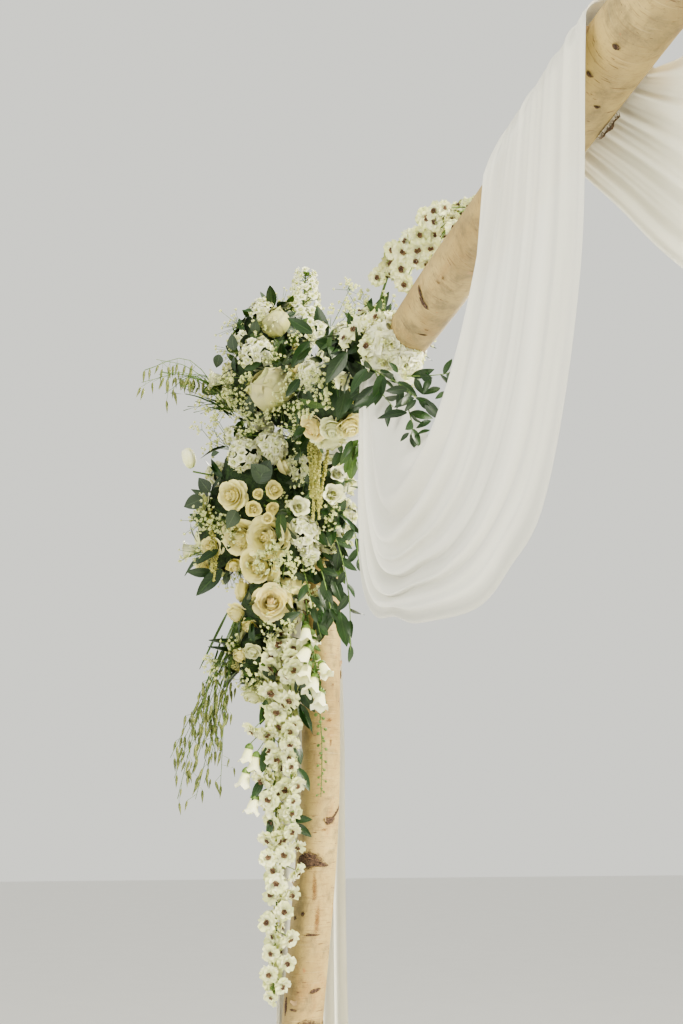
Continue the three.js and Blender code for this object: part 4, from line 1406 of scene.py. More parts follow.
# Stems of florets: path points, radius at each, spacing along the path, floret kind and size
spikes = {
    "stockSpike": {
        "path": [(0.005, -0.055, 2.54), (0, -0.042, 2.63), (0, -0.036, 2.72)],
        "radii": [0.034, 0.04, 0.022], "spacing": 0.002, "kind": "stockFloret", "sizes": (0.017, 0.011),
        "droop": 0.3,
    },
    "beamDelphinium": {
        "path": [
            (0.44, 0.015, 2.44), (0.6, 0.008, 2.486), (0.78, 0.008, 2.463), (0.96, 0.014, 2.434),
            (1.09, 0.022, 2.404),
        ],
        "radii": [0.014, 0.021, 0.023, 0.019, 0.008], "start": 0.3, "spacing": 0.006, "kind": "delphinium",
        "sizes": (0.0225, 0.013), "droop": 0, "nearer": 0.036,
    },
    "longTrail": {
        "path": [(0.07, -0.115, 1.9), (0.075, -0.106, 1.7), (0.07, -0.098, 1.45), (0.06, -0.102, 1.235)],
        "radii": [0.02, 0.02, 0.017, 0.008], "spacing": 0.015, "kind": "delphinium",
        "sizes": (0.0262, 0.019), "droop": 0.25, "nearer": 0.018,
    },
    "shortTrail": {
        "path": [(0.095, -0.085, 1.96), (0.1, -0.078, 1.78), (0.095, -0.076, 1.575)],
        "radii": [0.018, 0.018, 0.008], "spacing": 0.019, "kind": "delphinium", "sizes": (0.024, 0.018),
        "droop": 0.25, "nearer": 0.018,
    },
}

# florets of the spikes that face the camera: column, row, and how far one is turned aside, in degrees
seenFlorets = {
    "beamDelphinium": [
        (425, 218), (435, 222), (444, 208), (452, 217), (454, 228), (419, 235), (433, 235), (419, 249, 30),
        (432, 247, 40), (403, 252), (417, 260, 30), (387, 261), (401, 271), (405, 283, 35), (378, 277, 30),
        (408, 240, 60), (395, 250, 60), (428, 262, 50), (436, 211, 50),
    ],
    "longTrail": [
        (279, 644), (271, 665, 65), (271, 690, 60), (276, 714), (268, 732, 70), (254, 729, 75), (276, 758),
        (285, 788), (270, 800), (290, 812), (262, 778, 70), (284, 836, 60), (268, 838, 60), (285, 856),
        (268, 858), (276, 885), (296, 871, 70), (290, 893, 70), (284, 911), (268, 922), (289, 938, 50),
        (271, 953), (286, 962, 50), (269, 974, 30), (282, 985, 60), (271, 996, 60),
    ],
    "shortTrail": [
        (293, 668, 50), (291, 656, 70), (289, 698, 60), (290, 729, 70), (290, 743, 40), (289, 766),
        (297, 784, 60), (293, 800, 50), (292, 830, 60), (297, 845, 70),
    ],
}

# pale bells that hang beside the long trail: base and tip
seenDrops = {
    "longTrail": [
        (250, 744, 246, 762), (257, 752, 253, 771), (247, 768, 243, 787), (266, 790, 262, 806),
        (256, 794, 251, 813), (270, 802, 269, 818),
    ],
}

# leaves that hang from the trails: base and tip
seenTrailLeaves = {
    "longTrail": [
        (292, 819, 311, 819), (295, 824, 311, 836), (270, 745, 262, 772), (266, 700, 262, 724),
        (272, 818, 268, 836), (262, 780, 252, 800),
    ],
    "shortTrail": [
        (296, 680, 313, 711), (300, 706, 316, 731), (299, 704, 310, 727), (298, 768, 310, 789),
        (289, 711, 300, 699), (294, 740, 303, 764),
    ],
}

bellStem = {
    "bells": [
        (306, 625, 305.6, 643), (310, 645, 299, 664), (309, 662, 302.5, 680), (316, 674, 311, 693),
        (320, 661, 327, 675), (321, 689, 319, 708),
    ],
    "stem": [
        (306, 600), (309, 630), (312.5, 644), (315, 663), (321, 688), (320, 712), (322, 740), (322, 770),
        (321, 797),
    ],
    "greens": [
        (305, 616), (312, 655), (315, 670), (320, 686), (310, 640), (317, 680), (303, 622), (322, 692),
    ],
    "depthX": 0.105, "buds": 26,
}

# Tassel strands as columns and rows of the photograph; they hang at this place along the beam
tassels = {
    "step": 0.0013,
    "amaranthTassel": {
        "place": 0.235,
        "strands": [
            [(321, 402), (318, 425), (313, 455), (314, 490), (313, 521)],
            [(324, 404), (324, 430), (320, 460), (318, 492), (319, 520)],
            [(327, 408), (329, 436), (326, 462), (322, 486), (320, 508)],
            [(313, 396), (311, 418), (309, 446), (311, 476), (311, 498)],
            [(320, 408), (316, 440), (317, 470), (315, 500)],
            [(317, 402), (317, 430), (316, 455), (315, 482)],
            [(323, 408), (322, 436), (319, 462), (317, 488)], [(313, 402), (313, 424), (312, 450)],
        ],
    },
    "heartBlooms": {
        "place": 0.075,
        "strands": [
            [(228, 457), (234, 470), (242, 484), (249, 497)],
            [(232, 460), (238, 472), (245, 486), (250, 494)],
            [(209, 510), (213, 528), (216, 552), (214, 582)],
            [(206, 512), (211, 532), (212, 556), (212, 574)],
        ],
    },
}

oats = {
    "upperOatSpray": {
        "root": (0.01, -0.185, 2.395),
        "tips": [
            (0, -0.378, 2.452), (-0.01, -0.372, 2.482), (0.01, -0.35, 2.5), (0, -0.33, 2.43),
            (0.02, -0.3, 2.455), (-0.03, -0.31, 2.47), (0.03, -0.345, 2.462),
        ],
        "arch": 0.045, "heads": 8,
    },
    "lowerOatSpray": {
        "root": (0.03, -0.175, 1.96),
        "tips": [
            (0, -0.285, 1.61), (0.01, -0.262, 1.65), (-0.01, -0.3, 1.69), (0.02, -0.235, 1.64),
            (-0.03, -0.275, 1.72), (0, -0.215, 1.7), (0.035, -0.205, 1.63), (0.01, -0.245, 1.74),
            (0.015, -0.27, 1.69), (0.005, -0.25, 1.61), (-0.01, -0.262, 1.76), (0.025, -0.225, 1.72),
            (0, -0.292, 1.65),
        ],
        "arch": 0.01, "heads": 13,
    },
}

# Hanging sprigs on the inner side: path from the beam's line, and how many leaves
leafSprigs = [
    ([(0.14, -0.02, 2.17), (0.156, 0.01, 2.08), (0.14, 0.03, 1.99), (0.113, 0.037, 1.895)], 12, 0.052),
    ([(0.13, 0, 2.18), (0.16, 0.034, 2.13), (0.165, 0.044, 2.06)], 7, 0.046),
    ([(0.125, -0.04, 2.11), (0.15, -0.02, 2.02), (0.132, 0, 1.95)], 8, 0.048),
    ([(0.12, -0.06, 2.06), (0.128, -0.04, 1.98), (0.11, -0.02, 1.92)], 7, 0.044),
]

# leaves of the unseen sides and their lengths, and the plainer leaves between the flowers
leafMix = [("glossyLeaf", 0.06)] * 3 + [("softLeaf", 0.05), ("roundLeaf", 0.04)]
innerMix = ["innerGlossy", "innerGlossy", "innerSoft"]
tries = 400  # places tried for the blooms of a clump
hangingBelow = 610  # image row under which the lower blooms look down

bouquet = {}  # blooms and leaves of each piece, by kind
stemLines = {}
taken = []  # place and radius of each large bloom


def perpendicular(direction, twist=0.0):
    helper = up if abs(direction[2]) < 0.9 else np.array([1.0, 0, 0])
    first = unit(np.cross(helper, direction))
    return math.cos(twist) * first + math.sin(twist) * np.cross(direction, first)


def put(piece, kind, place, facing, size, upper=None):
    # facing: where a bloom opens or a leaf points; upper: where a leaf's upper side looks
    facing = unit(np.asarray(facing, float))
    if upper is None:
        upper = perpendicular(facing, rng.uniform(0, 2 * math.pi))
    upper = upper - facing * (upper @ facing)
    upper = upper / max(np.linalg.norm(upper), 1e-6)
    turn = Matrix(np.stack([upper, np.cross(facing, upper), facing], 1).tolist()).to_euler("XYZ")
    row = (np.asarray(place, float), turn, size, rng.random())
    bouquet.setdefault(piece, {}).setdefault(kind, []).append(row)


def putAcross(piece, kind, base, tip, upper=None):
    put(piece, kind, base, tip - base, np.linalg.norm(tip - base), upper)


def stem(piece, points, thick, thin=None):
    line = (np.asarray(points, float), thick, thick if thin is None else thin)
    stemLines.setdefault(piece, []).append(line)


def pathAt(points, share):
    # place on the path, and the way on from there
    points = np.asarray(points, float)
    knots = np.linspace(0, 1, len(points))
    place, ahead, behind = [
        np.array([curveThrough(knots, points[:, axis], np.array([at]))[0] for axis in range(3)])
        for at in (share, min(1, share + 0.02), max(0, share - 0.02))]
    return place, unit(ahead - behind)


def pointsAlong(path, count):
    return [pathAt(path, share)[0] for share in np.linspace(0, 1, count)]


def lengthOf(path):
    return np.linalg.norm(np.diff(path, axis=0), axis=1).sum()


def inFrame(points):
    # clump and path places are given from the beam's line; the frame's Y starts at the post's foot
    points = np.array(points, float)
    points[..., 1] += arch["jointY"]
    return points


def clear(place, radius, allowance=0.85):
    return all(np.linalg.norm(place - other) > allowance * (radius + size) for other, size in taken)


def placeSeenBlooms(piece):
    own = clumps[piece]
    for kind, column, row, pixels, sink in seenBlooms[piece]:
        place, outward = seenOn(column, row, own)
        radius = seenSize(pixels, place)
        place = place - outward * (sink + 0.2 * radius)
        facing = 0.9 * outward + 0.45 * toViewer(place) + jitter(0.12)
        if kind == "peonyBlush":
            facing = 0.4 * toViewer(place) + np.array([0, -0.6, 0.75])
        if piece == "lowerBlooms" and row > hangingBelow:
            facing = 0.35 * outward + 0.25 * toViewer(place) + np.array([0, -0.15, -0.8])
        if kind == "bud":
            facing = np.array([0.1, -0.3, 1.0])
        put(piece, kind, place, facing, radius)
        taken.append((place, radius))
        foot = place - unit(facing) * 0.6 * radius
        stem(piece, [foot, foot - outward * 0.04], 0.0022)
    kind = "delphinium" if piece == "lowerBlooms" else "stockFloret"
    for column, row, pixels, count, size, *along in seenClusters[piece]:
        place, outward = seenOn(column, row, own)
        radius = seenSize(pixels, place)
        centre = place - outward * radius * 0.75
        if along:
            centre = seenAt(column, row, 0, along[0])
            radius = seenSize(pixels, centre)
            outward = toViewer(centre)
            stem(piece, [centre, centre + np.array([-0.1, 0.0, 0.02])], 0.003)
        cluster(piece, kind, centre, 0.5 * outward + 0.6 * toViewer(place), radius, count, size)
        taken.append((centre, radius))


def cluster(piece, kind, centre, facing, radius, count, size):
    # florets over a small dome
    facing = unit(facing)
    across = perpendicular(facing)
    other = np.cross(facing, across)
    reach = radius - size * 0.45
    for number in range(count):
        slope = math.acos(1 - 1.25 * (number + 0.02) / count)
        spin = goldenTurn * number + rng.normal() * 0.2
        aside = across * math.cos(spin) + other * math.sin(spin)
        direction = facing * math.cos(slope) + aside * math.sin(slope)
        place = centre + direction * reach * rng.uniform(0.9, 1.05)
        put(piece, kind, place, direction + jitter(0.15), size * rng.uniform(0.88, 1.1))


def cloud(piece, column, row, halfWidth, halfHeight, count):
    own = clumps[piece]
    middle, outward = seenOn(column, row, own)
    root = middle - outward * 0.04
    forks = []
    for _ in range(max(4, count // 10)):
        angle, reach = rng.uniform(0, 2 * math.pi), math.sqrt(rng.random())
        aside, down = halfWidth * reach * math.cos(angle), halfHeight * reach * math.sin(angle)
        spot, out = seenOn(column + aside, row + down, own)
        fork = spot + out * rng.uniform(-0.01, 0.006)
        forks.append((fork, out))
        stem(piece, [root + (fork - root) * 0.1, (root + fork) / 2 + jitter(0.004), fork], 0.0009, 0.0006)
    for number in range(count):
        fork, out = forks[number % len(forks)]
        direction = unit(out + jitter(0.75))
        head = fork + direction * rng.uniform(0.006, 0.024)
        put(piece, "tinyWhite", head, direction + 0.2 * up, rng.uniform(0.0032, 0.0052))
        if number % 3 == 0:
            stem(piece, [fork, head], 0.0005, 0.0004)


def putLeaf(piece, kind, place, direction, length, upper):
    # a leaf that would stick through a bloom is left out
    step = unit(direction) * length
    if clear(place + step, 0.0, 0.98) and clear(place + 0.55 * step, 0.0, 0.98):
        put(piece, kind, place, direction, length, upper)


def placeLeaves(piece):
    own = clumps[piece]
    for letter, *foot, column, row in seenLeaves[piece]:
        base, outward = seenOn(*foot, own)
        base = base + outward * 0.006
        nearer = (0.3 * outward + 0.7 * toViewer(base)) * rng.uniform(0.0, 0.02)
        tip = seenBeside(column, row, base) + nearer
        length = np.linalg.norm(tip - base) * (0.85 if letter == "r" else 1.0)
        put(piece, leafKinds[letter], base, tip - base, length, toViewer(base) + jitter(0.35))


def clumpPoint(own, inset=1.0):
    # a random place on the clumps' outside, and the way out there
    while True:
        centre, size = ballOf(own[rng.integers(len(own))])
        direction = unit(rng.normal(size=3))
        place = centre + direction * size * inset
        offsets = [(place - middle) / half for middle, half in map(ballOf, own)]
        if not any(offset @ offset < (inset * 0.97) ** 2 for offset in offsets):
            return place, unit(direction / size)


def fillClump(piece, mix, clusters, clouds, leaves, inner, top=9.0):
    # the sides that the photograph doesn't show are filled with the same flowers
    own = clumps[piece]
    placed = 0
    for _ in range(tries):
        if placed >= len(mix):
            break
        kind, radius = mix[placed]
        place, outward = clumpPoint(own)
        place = place - outward * radius * 0.35
        if place[2] < top and clear(place, radius):
            put(piece, kind, place, outward + jitter(0.18) + 0.05 * up, radius)
            stem(piece, [place - outward * 0.6 * radius, place - outward * 0.05], 0.002)
            taken.append((place, radius))
            placed += 1
    placed = 0
    for _ in range(tries):
        if placed >= clusters:
            break
        radius = rng.uniform(0.026, 0.036)
        place, outward = clumpPoint(own)
        place = place - outward * radius * 0.7
        if clear(place, radius, 0.8):
            cluster(piece, "stockFloret", place, outward, radius, 20, 0.014)
            taken.append((place, radius))
            placed += 1
    for _ in range(clouds):
        place, outward = clumpPoint(own, 0.98)
        for _ in range(24):
            direction = outward * 0.7 + jitter(0.8)
            head = place + direction * rng.uniform(0.008, 0.022)
            put(piece, "tinyWhite", head, direction, rng.uniform(0.0032, 0.005))
            stem(piece, [place - outward * 0.01, head], 0.0006, 0.0004)
    for _ in range(leaves):
        place, outward = clumpPoint(own, 0.86)
        kind, length = leafMix[rng.integers(len(leafMix))]
        direction = outward + jitter(0.65)
        upper = outward + 0.8 * up
        putLeaf(piece, kind, place, direction, length * rng.uniform(0.7, 1.0), upper)
    for _ in range(inner):
        place, outward = clumpPoint(own, rng.uniform(0.72, 0.86))
        kind = innerMix[rng.integers(len(innerMix))]
        direction = np.cross(outward, rng.normal(size=3)) + outward * 0.35
        putLeaf(piece, kind, place, direction, rng.uniform(0.03, 0.05), outward)


def growSpike(piece):
    made = spikes[piece]
    path = inFrame(made["path"])
    stem(piece, pointsAlong(path, 14), 0.0028, 0.0014)
    shown = [growSeenFloret(piece, path, *mark) for mark in seenFlorets.get(piece, [])]
    large, small = made["sizes"]
    count = int(lengthOf(path) / made["spacing"])
    for number in range(count):
        share = (number + 0.5) / count
        if share < made.get("start", 0.0):
            continue
        place, forward = pathAt(path, share)
        radius = np.interp(share, np.linspace(0, 1, len(made["radii"])), made["radii"])
        direction = perpendicular(forward, goldenTurn * number + rng.normal() * 0.25)
        size = large + (small - large) * share
        head = place + direction * max(0.002, radius - 0.45 * size)
        if any(np.linalg.norm(head - other) < 0.6 * size for other in shown):
            continue
        facing = direction + forward * made["droop"] + jitter(0.15)
        put(piece, made["kind"], head, facing, size * rng.uniform(0.9, 1.08))
        stem(piece, [place - forward * 0.008, head], 0.001)
    for number in range(9):  # green buds at the tip
        place, forward = pathAt(path, 0.955 + 0.005 * number)
        head = place + perpendicular(forward, budTurn * number) * 0.005 * (1.2 - number / 9)
        put(piece, "greenBud", head, forward, 0.0055 - 0.0003 * number)
    for *foot, column, row in seenDrops.get(piece, []):
        base = seenAt(*foot, 0, path[:, 0].mean() + 0.006)
        tie(piece, path, base, 0.04)
        putAcross(piece, "bell", base, seenBeside(column, row, base))
    for *foot, column, row in seenTrailLeaves.get(piece, []):
        base = seenAt(*foot, 0, path[:, 0].mean() + 0.01)
        tip = seenBeside(column, row, base) + toViewer(base) * 0.012
        tie(piece, path, base, 0.02)
        putAcross(piece, "glossyLeaf", base, tip, toViewer(base) + jitter(0.3))


def growSeenFloret(piece, path, column, row, turned=None):
    made = spikes[piece]
    hanging = piece != "beamDelphinium"
    if hanging:
        middle = seenAt(column, row, 0, path[:, 0].mean() + made["nearer"])
        share = (path[0, 2] - middle[2]) / (path[0, 2] - path[-1, 2])
    else:
        middle = seenAt(column, row, 1, path[:, 1].mean() - made["nearer"])
        share = (middle[0] - path[0, 0]) / (path[-1, 0] - path[0, 0])
    root, _ = pathAt(path, float(np.clip(share - 0.03, 0, 1)))
    facing = toViewer(middle) + jitter(0.3)
    large, small = made["sizes"]
    size = large + (small - large) * float(np.clip(share, 0, 1)) ** 2
    if turned:
        aside = math.radians(turned)
        away = middle - root + np.array([0, 0, -0.02 if hanging else 0.0])
        facing = math.cos(aside) * toViewer(middle) + math.sin(aside) * away / np.linalg.norm(away)
    put(piece, made["kind"], middle, facing, size * rng.uniform(0.85, 1.08))
    stem(piece, [root, middle - facing * 0.004], 0.001)
    return middle


def tie(piece, path, base, above):
    # a short stem from a little higher on the hanging path to the base of what hangs beside it
    share = (path[0, 2] - base[2]) / (path[0, 2] - path[-1, 2]) - above
    near, _ = pathAt(path, float(np.clip(share, 0, 1)))
    stem(piece, [near, base], 0.001)


def growBells():
    piece = "foxgloveStem"
    depth, buds = bellStem["depthX"], bellStem["buds"]
    line = [seenAt(column, row, 0, depth) for column, row in bellStem["stem"]]
    stem(piece, line, 0.0022, 0.0009)
    for *foot, column, row in bellStem["bells"]:
        base = seenAt(*foot, 0, depth + 0.012)
        putAcross(piece, "bell", base, seenAt(column, row, 0, depth + 0.026))
        near = min(line, key=lambda spot: np.linalg.norm(spot - base))
        stem(piece, [near, base], 0.0012)
    for number in range(4):  # bells on the side toward the post
        place, _ = pathAt(line, 0.12 + 0.1 * number)
        side = (-1) ** number
        put(piece, "bell", place + np.array([-0.012, 0.006 * side, 0]), (-0.5, 0.3 * side, -0.8), 0.032)
    for column, row in bellStem["greens"]:
        place = seenAt(column, row, 0, depth + 0.016)
        for _ in range(7):
            direction = rng.normal(size=3) + 0.5 * toViewer(place)
            put(piece, "softLeaf", place, direction, rng.uniform(0.008, 0.015))
    for number in range(buds):
        place, forward = pathAt(line, 0.56 + 0.44 * number / buds)
        direction = perpendicular(forward, budTurn * number)
        head = place + direction * 0.008 + forward * 0.004
        put(piece, "greenBud", head, direction + forward, 0.0046 - 0.0018 * number / buds)
        stem(piece, [place, head], 0.0007)
    for number in range(10):
        place, forward = pathAt(line, 0.03 + 0.045 * number)
        put(piece, "softLeaf", place, perpendicular(forward, budTurn * number) + forward * 0.8, 0.022)


def growTassel(piece):
    made = tassels[piece]
    for strand in made["strands"]:
        depth = made["place"] + rng.uniform(-0.012, 0.012)
        path = [seenAt(column, row, 0, depth) for column, row in strand]
        length = lengthOf(path)
        stem(piece, pointsAlong(path, 9), 0.0012)
        wobble = rng.uniform(*anyPhase)
        for number in range(int(length / tassels["step"])):
            share = number * tassels["step"] / length
            place, forward = pathAt(path, share)
            swell = 0.62 + 0.38 * math.sin(29 * share + wobble) * math.sin(13 * share + 2 * wobble)
            thick = 0.0062 * (1 - 0.55 * share) * swell
            direction = perpendicular(forward, goldenTurn * number)
            bead = place + direction * thick * rng.uniform(0.4, 1.0)
            put(piece, "woolBead", bead, direction + forward * 0.5, rng.uniform(0.0022, 0.004))


def growOats(piece):
    made = oats[piece]
    root = inFrame(made["root"])
    for tip in map(inFrame, made["tips"]):
        middle = (root + tip) / 2 + np.array([0, 0, made["arch"]]) + jitter(0.008)
        line = [root + jitter(0.006), middle, tip]
        stem(piece, pointsAlong(line, 9), 0.0012, 0.0006)
        for number in range(made["heads"]):
            share = 0.42 + 0.58 * (number + rng.random() * 0.4) / made["heads"]
            place, _ = pathAt(line, min(1, share))
            drop = (rng.normal() * 0.008, rng.normal() * 0.01, -rng.uniform(0.004, 0.018))
            hang = place + np.array(drop)
            stem(piece, [place, hang], 0.0004)
            facing = np.array([rng.normal() * 0.15, rng.normal() * 0.2 - 0.1, -1.0])
            put(piece, "oat", hang, facing, rng.uniform(0.018, 0.03))
    for _ in range(10):
        start = root + jitter(0.014)
        aim = inFrame(made["tips"][rng.integers(len(made["tips"]))]) - root + jitter(0.03)
        put(piece, "grassBlade", start, aim, rng.uniform(0.09, 0.15), np.array([0.6, 0.2, 0.5]))


def growStrand(piece, path, leaves, size):
    # leaves alternate along a hanging sprig
    path = inFrame(path)
    stem(piece, pointsAlong(path, 12), 0.0018, 0.001)
    for number in range(leaves):
        share = (number + 0.6) / leaves
        place, forward = pathAt(path, share)
        side = perpendicular(forward, math.pi * number + rng.normal() * 0.9)
        direction = side * rng.uniform(0.5, 1.1) + forward * 0.9 - 0.35 * up + jitter(0.25)
        upper = toViewer(place) + jitter(0.5)
        length = size * rng.uniform(0.65, 1.15) * (1 - 0.25 * share)
        put(piece, "glossyLeaf", place, direction, length, upper)


def growShoulderLeaves():
    piece = "shoulderLeaves"
    made = shoulderLeaves

    def spot(column, row):
        return seenAt(column, row, 0, float(np.interp(column, made["columns"], made["places"])))

    for *foot, column, row in made["seen"]:
        base = spot(*foot)
        tip = seenBeside(column, row, base) + toViewer(base) * rng.uniform(-0.012, 0.012)
        putAcross(piece, "glossyLeaf", base, tip, toViewer(base) + 0.5 * up + jitter(0.3))
    for marks in made["stems"]:
        line = [spot(column, row) for column, row in marks]
        stem(piece, line, 0.0012, 0.0007)
        count = 2 * (len(line) - 1)
        for number in range(count):
            place, forward = pathAt(line, (number + 0.5) / count)
            side = perpendicular(forward, math.pi * number + rng.normal() * 0.7)
            direction = side + forward * 0.7 - 0.3 * up + jitter(0.2)
            length = rng.uniform(0.026, 0.04)
            put(piece, "glossyLeaf", place, direction, length, toViewer(place) + jitter(0.6))
    stem(piece, [inFrame(made["root"]), spot(*made["stems"][0][0])], 0.0016, 0.0012)


def makePiece(piece):
    made = []
    for kind, rows in bouquet[piece].items():
        for template, finish, *share in kinds[kind]:
            seedPiece = meshPiece(piece + kind, [row[0] for row in rows], [])
            storeVectors(seedPiece, "turn", [tuple(row[1]) for row in rows])
            storeFloats(seedPiece, "size", [row[2] for row in rows])
            storeFloats(seedPiece, "shade", [row[3] for row in rows])
            values = {"Bloom": bpy.data.objects[template], "Finish": finishes[finish],
                      "Size": share[0] if share else 1.0, "Size Spread": 0.03, "Seed": 3}
            made.append(plainMesh(seedPiece, placeBlooms, values, piece + kind))
    made.append(makeStems(piece + "Stems", stemLines[piece]))
    return joinPieces("left" + capital(piece), made)


def makeStems(name, lines):
    points, edges, widths = [], [], []
    for line, thick, thin in lines:
        edges += [(len(points) + k, len(points) + k + 1) for k in range(len(line) - 1)]
        points += list(line)
        widths += list(np.linspace(thick, thin, len(line)))
    seedPiece = meshPiece(name, points, [], edges=edges)
    storeFloats(seedPiece, "thickness", widths)
    return plainMesh(seedPiece, stemTubes, {"Finish": finishes["stemGreen"], "Sides": 3}, name)


def capital(piece):
    return piece[0].upper() + piece[1:]


def coreMesh(piece):
    # dark packed foliage and moss behind the flowers
    parts = []
    rows, columns = 15, 24
    polar = np.linspace(0.06, math.pi - 0.06, rows)[:, None]
    spin = np.linspace(0, 2 * math.pi, columns, endpoint=False)[None, :]
    faces = gridFaces(rows, columns, closed=True)
    faces += [tuple(range(columns)), tuple(range((rows - 1) * columns, rows * columns))[::-1]]
    for number, clump in enumerate(clumps[piece]):
        (x, y, z), (halfX, halfY, halfZ) = ballOf(clump)
        lump = 0.74 + 0.05 * np.sin(5 * spin + 3 * polar + number) * np.sin(4 * polar)
        lump = lump + 0.03 * rng.normal(size=(rows, columns))
        x = x + halfX * lump * np.sin(polar) * np.cos(spin)
        y = y + halfY * lump * np.sin(polar) * np.sin(spin)
        z = z + halfZ * lump * np.cos(polar)
        grid = np.stack([x, y, z], -1).reshape(-1, 3)
        part = meshPiece(piece + "Core", grid, [face[::-1] for face in faces], smooth=True)
        part.data.materials.append(finishes["packedGreen"])
        parts.append(part)
    return parts


templates = []


def makeTemplates():
    for number, (name, rows) in enumerate(blooms.items()):
        bloomTemplate(name, rows, 20 + number, name in ("rose", "peony", "gardenRose", "sprayRose"))
    leafTemplate("pointedLeaf", 0.2, 6, 4, 0.22, 0.16, 0.8)
    leafTemplate("plainLeaf", 0.2, 4, 2, 0.22, 0.16, 0.8)
    leafTemplate("roundLeaf", 0.38, 6, 4, 0.16, 0.14, 0.74, seed=2)
    leafTemplate("bladeLeaf", 0.016, 8, 2, 0.3, 0.3, 0.6)
    bell = [(0.0, 0.05), (0.06, 0.13), (0.25, 0.2), (0.55, 0.26), (0.82, 0.31), (0.93, 0.36), (1.0, 0.45)]
    lathedTemplate("bell", 20, bell, 5, 0.1)
    lathedTemplate("calyx", 8, [(-0.06, 0.04), (0.0, 0.14), (0.12, 0.23), (0.26, 0.255)])
    lathedTemplate("pistil", 6, [(0.25, 0.05), (0.55, 0.09), (0.7, 0.12), (0.78, 0.02)])
    lathedTemplate("bead", 4, [(-0.9, 0.05), (0.0, 0.9), (0.9, 0.1)])
    lathedTemplate("pea", 5, [(-0.9, 0.05), (-0.4, 0.8), (0.5, 0.8), (1.0, 0.1)])
    lathedTemplate("oat", 5, [(0.0, 0.02), (0.12, 0.09), (0.38, 0.11), (0.72, 0.05), (1.0, 0.004)])


# petals: colours of the tip, the middle and the throat, and how far up the throat reaches
petalTones = {
    "roseCream": ((0.95, 0.9, 0.48), (0.94, 0.86, 0.34), (0.92, 0.78, 0.24)),
    "rosePeach": ((0.95, 0.88, 0.46), (0.94, 0.8, 0.34), (0.91, 0.6, 0.22), 0.4),
    "roseYellow": ((0.94, 0.89, 0.43), (0.93, 0.84, 0.32), (0.9, 0.74, 0.22), 0.35),
    "petalWhite": ((0.87, 0.89, 0.58), (0.81, 0.84, 0.45), (0.56, 0.64, 0.22)),
    "petalGreenWhite": ((0.92, 0.93, 0.68), (0.86, 0.89, 0.5), (0.58, 0.68, 0.18), 0.3),
    # the peony's colours are darkened to stand in for the shade it lies in: painted shade
    "peonyBlush": ((0.53, 0.5, 0.26), (0.47, 0.47, 0.19), (0.3, 0.37, 0.07), 0.45),
}

# leaves: colours of the upper side, the shade and the ribs, and roughness
leafTones = {
    "glossyLeafGreen": ((0.02, 0.058, 0.011), (0.008, 0.026, 0.006), (0.04, 0.088, 0.02), 0.34),
    "freshLeafGreen": ((0.055, 0.115, 0.014), (0.022, 0.058, 0.009), (0.1, 0.17, 0.035), 0.42),
    "sageLeafGreen": ((0.058, 0.088, 0.046), (0.026, 0.044, 0.026), (0.08, 0.115, 0.064), 0.6),
}

# grainy finishes: dark and light colour, and roughness
grainTones = {
    "brownEye": ((0.06, 0.03, 0.018), (0.2, 0.13, 0.07), 0.8),
    "stemGreen": ((0.07, 0.14, 0.025), (0.19, 0.28, 0.07), 0.5),
    "amaranthGreen": ((0.27, 0.27, 0.065), (0.55, 0.53, 0.2), 0.9),
    "oatGreen": ((0.08, 0.11, 0.028), (0.27, 0.29, 0.095), 0.6),
    "packedGreen": ((0.01, 0.022, 0.008), (0.035, 0.07, 0.02)),
}


def makeFinishes():
    made = {}
    palettes = ((petalMaterial, petalTones), (leafMaterial, leafTones), (mossMaterial, grainTones))
    for paint, tones in palettes:
        for name, terms in tones.items():
            made[name] = paint(name, *terms)
    return made


fillPlans = {
    "heartBlooms": {
        "mix": [
            ("creamRose", 0.036), ("gardenWhite", 0.044), ("lisianthus", 0.028), ("whiteRose", 0.032),
            ("creamRose", 0.034), ("gardenCream", 0.044), ("lisianthus", 0.027), ("peachRose", 0.034),
            ("whiteRose", 0.03), ("creamRose", 0.03), ("lisianthus", 0.025), ("whiteRose", 0.028),
            ("creamRose", 0.027), ("sprayRose", 0.02), ("sprayRose", 0.019),
        ],
        "clusters": 9, "clouds": 26, "leaves": 62, "inner": 170,
    },
    "crownBlooms": {
        "mix": [
            ("gardenWhite", 0.044), ("creamRose", 0.034), ("lisianthus", 0.028), ("peonyBlush", 0.042),
            ("whiteRose", 0.031), ("creamRose", 0.031), ("lisianthus", 0.026), ("sprayRose", 0.02),
        ],
        "clusters": 8, "clouds": 26, "leaves": 70, "inner": 140, "top": 2.56,
    },
    "lowerBlooms": {
        "mix": [
            ("creamRose", 0.033), ("whiteRose", 0.03), ("lisianthus", 0.026), ("sprayRose", 0.02),
            ("creamRose", 0.028),
        ],
        "clusters": 3, "clouds": 10, "leaves": 36, "inner": 60,
    },
    "shoulderBlooms": {
        "mix": [("gardenWhite", 0.042), ("lisianthus", 0.028), ("whiteRose", 0.03), ("lisianthus", 0.026)],
        "clusters": 6, "clouds": 12, "leaves": 60, "inner": 210,
    },
}


def growBouquet():
    for piece in clumps:
        placeSeenBlooms(piece)
    for piece in clumps:
        for terms in seenClouds[piece]:
            cloud(piece, *terms)
        placeLeaves(piece)
        fillClump(piece, **fillPlans[piece])
    for piece in spikes:
        growSpike(piece)
    growBells()
    for piece in ("amaranthTassel", "heartBlooms"):
        growTassel(piece)
    for piece in oats:
        growOats(piece)
    growShoulderLeaves()
    for path, leaves, size in leafSprigs:
        growStrand("leafStrand", path, leaves, size)


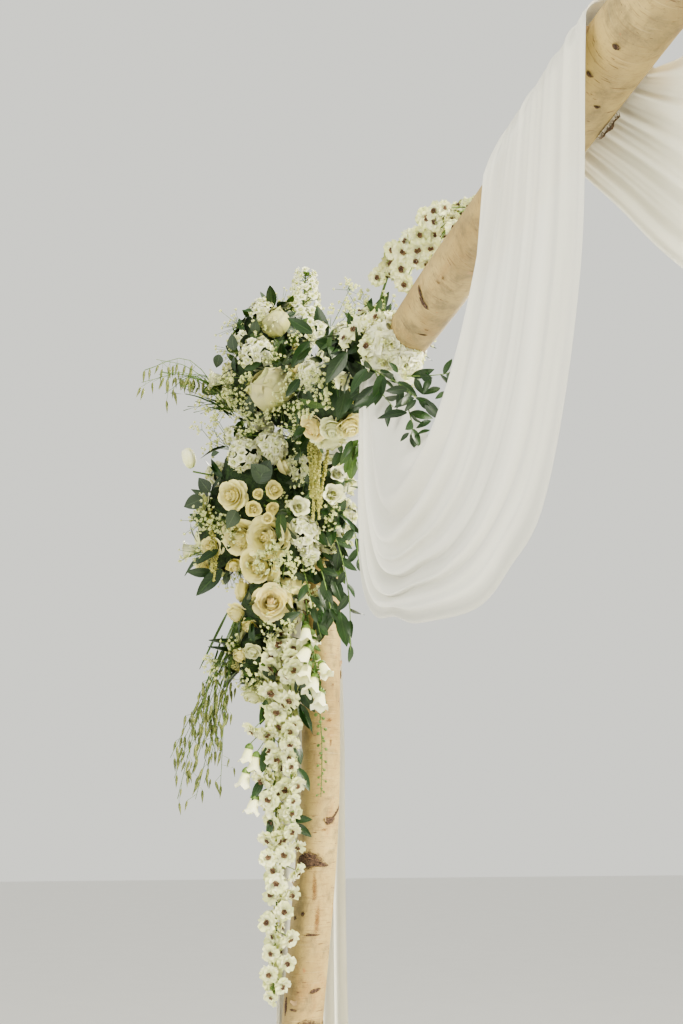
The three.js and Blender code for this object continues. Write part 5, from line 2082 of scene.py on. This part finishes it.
# Material slot of each piece of a corner. The piece leafStrand stands for the node left_leaf_strand, and
# its mirror for right_leaf_strand; so with the others.
cornerSlots = {
    "petals": [
        "heartBlooms", "crownBlooms", "lowerBlooms", "shoulderBlooms", "beamDelphinium", "stockSpike",
        "longTrail", "shortTrail", "foxgloveStem",
    ],
    "foliage": ["leafStrand", "shoulderLeaves"],
    "tassel": ["amaranthTassel"],
    "dry_straw": ["upperOatSpray", "lowerOatSpray"],
}


def addFlowers():
    growBouquet()
    for slot, pieces in cornerSlots.items():
        for piece in pieces:
            left = makePiece(piece)
            if piece in clumps:
                left = joinPieces(left.name, [left] + coreMesh(piece))
            right = mirrorPiece(left, "right" + capital(piece))
            node = "".join("_" + c.lower() if c.isupper() else c for c in piece)
            declare({left: ["left_" + node], right: ["right_" + node]})
            print(piece, len(left.data.polygons), "faces")


def dressCarried():
    # the fastening, the foam cage and its strap keep their solids and get finishes
    steel = newMaterial("zincSteel", (0.55, 0.55, 0.53), 0.42, 1.0)
    spangle = noise(steel, "Object", 160.0, 3)
    mixColours(steel, spangle, (0.44, 0.44, 0.43), (0.66, 0.66, 0.64))
    bump(steel, spangle, 0.0004, 0.4)
    foam = mossMaterial("wetFoam", (0.012, 0.03, 0.01), (0.045, 0.085, 0.028))
    webbing = newMaterial("greenWebbing", (0.03, 0.06, 0.025), 0.7)
    ribs = stripes(webbing, "Object", "Z", 380.0)
    mixColours(webbing, ribs, (0.018, 0.04, 0.016), (0.045, 0.085, 0.035))
    bump(webbing, ribs, 0.0006, 0.5)
    paints = {"coach_screw": steel.material, "flower_cage": foam, "cage_strap": webbing.material}
    for node, material in paints.items():
        for side in ("left_", "right_"):
            for slot in bpy.data.objects[side + node].material_slots:
                slot.material = material


barkSkin = barkSkinGroup()
barkFinish = barkMaterial()
scarFinish = scarMaterial("barkScar", bark["scar"], (0.2, 0.125, 0.08), 0.45, 1.0)
stainFinish = scarMaterial("rustStain", (0.24, 0.1, 0.035), (0.36, 0.18, 0.07), 0.9, 0.55)
flakeFinish = flakeMaterial()
sawnFinish = sawnWoodMaterial()
chiffonFinish = chiffonMaterial()
addCamera()
addStudio()
addPoles()
print("poles made")
addScarves()
print("scarf made")
dressCarried()
placeBlooms = placingTree()
stemTubes = stemTree()
finishes = makeFinishes()
makeTemplates()
addFlowers()
for template in templates:
    bpy.data.objects.remove(template)
print("flowers made")
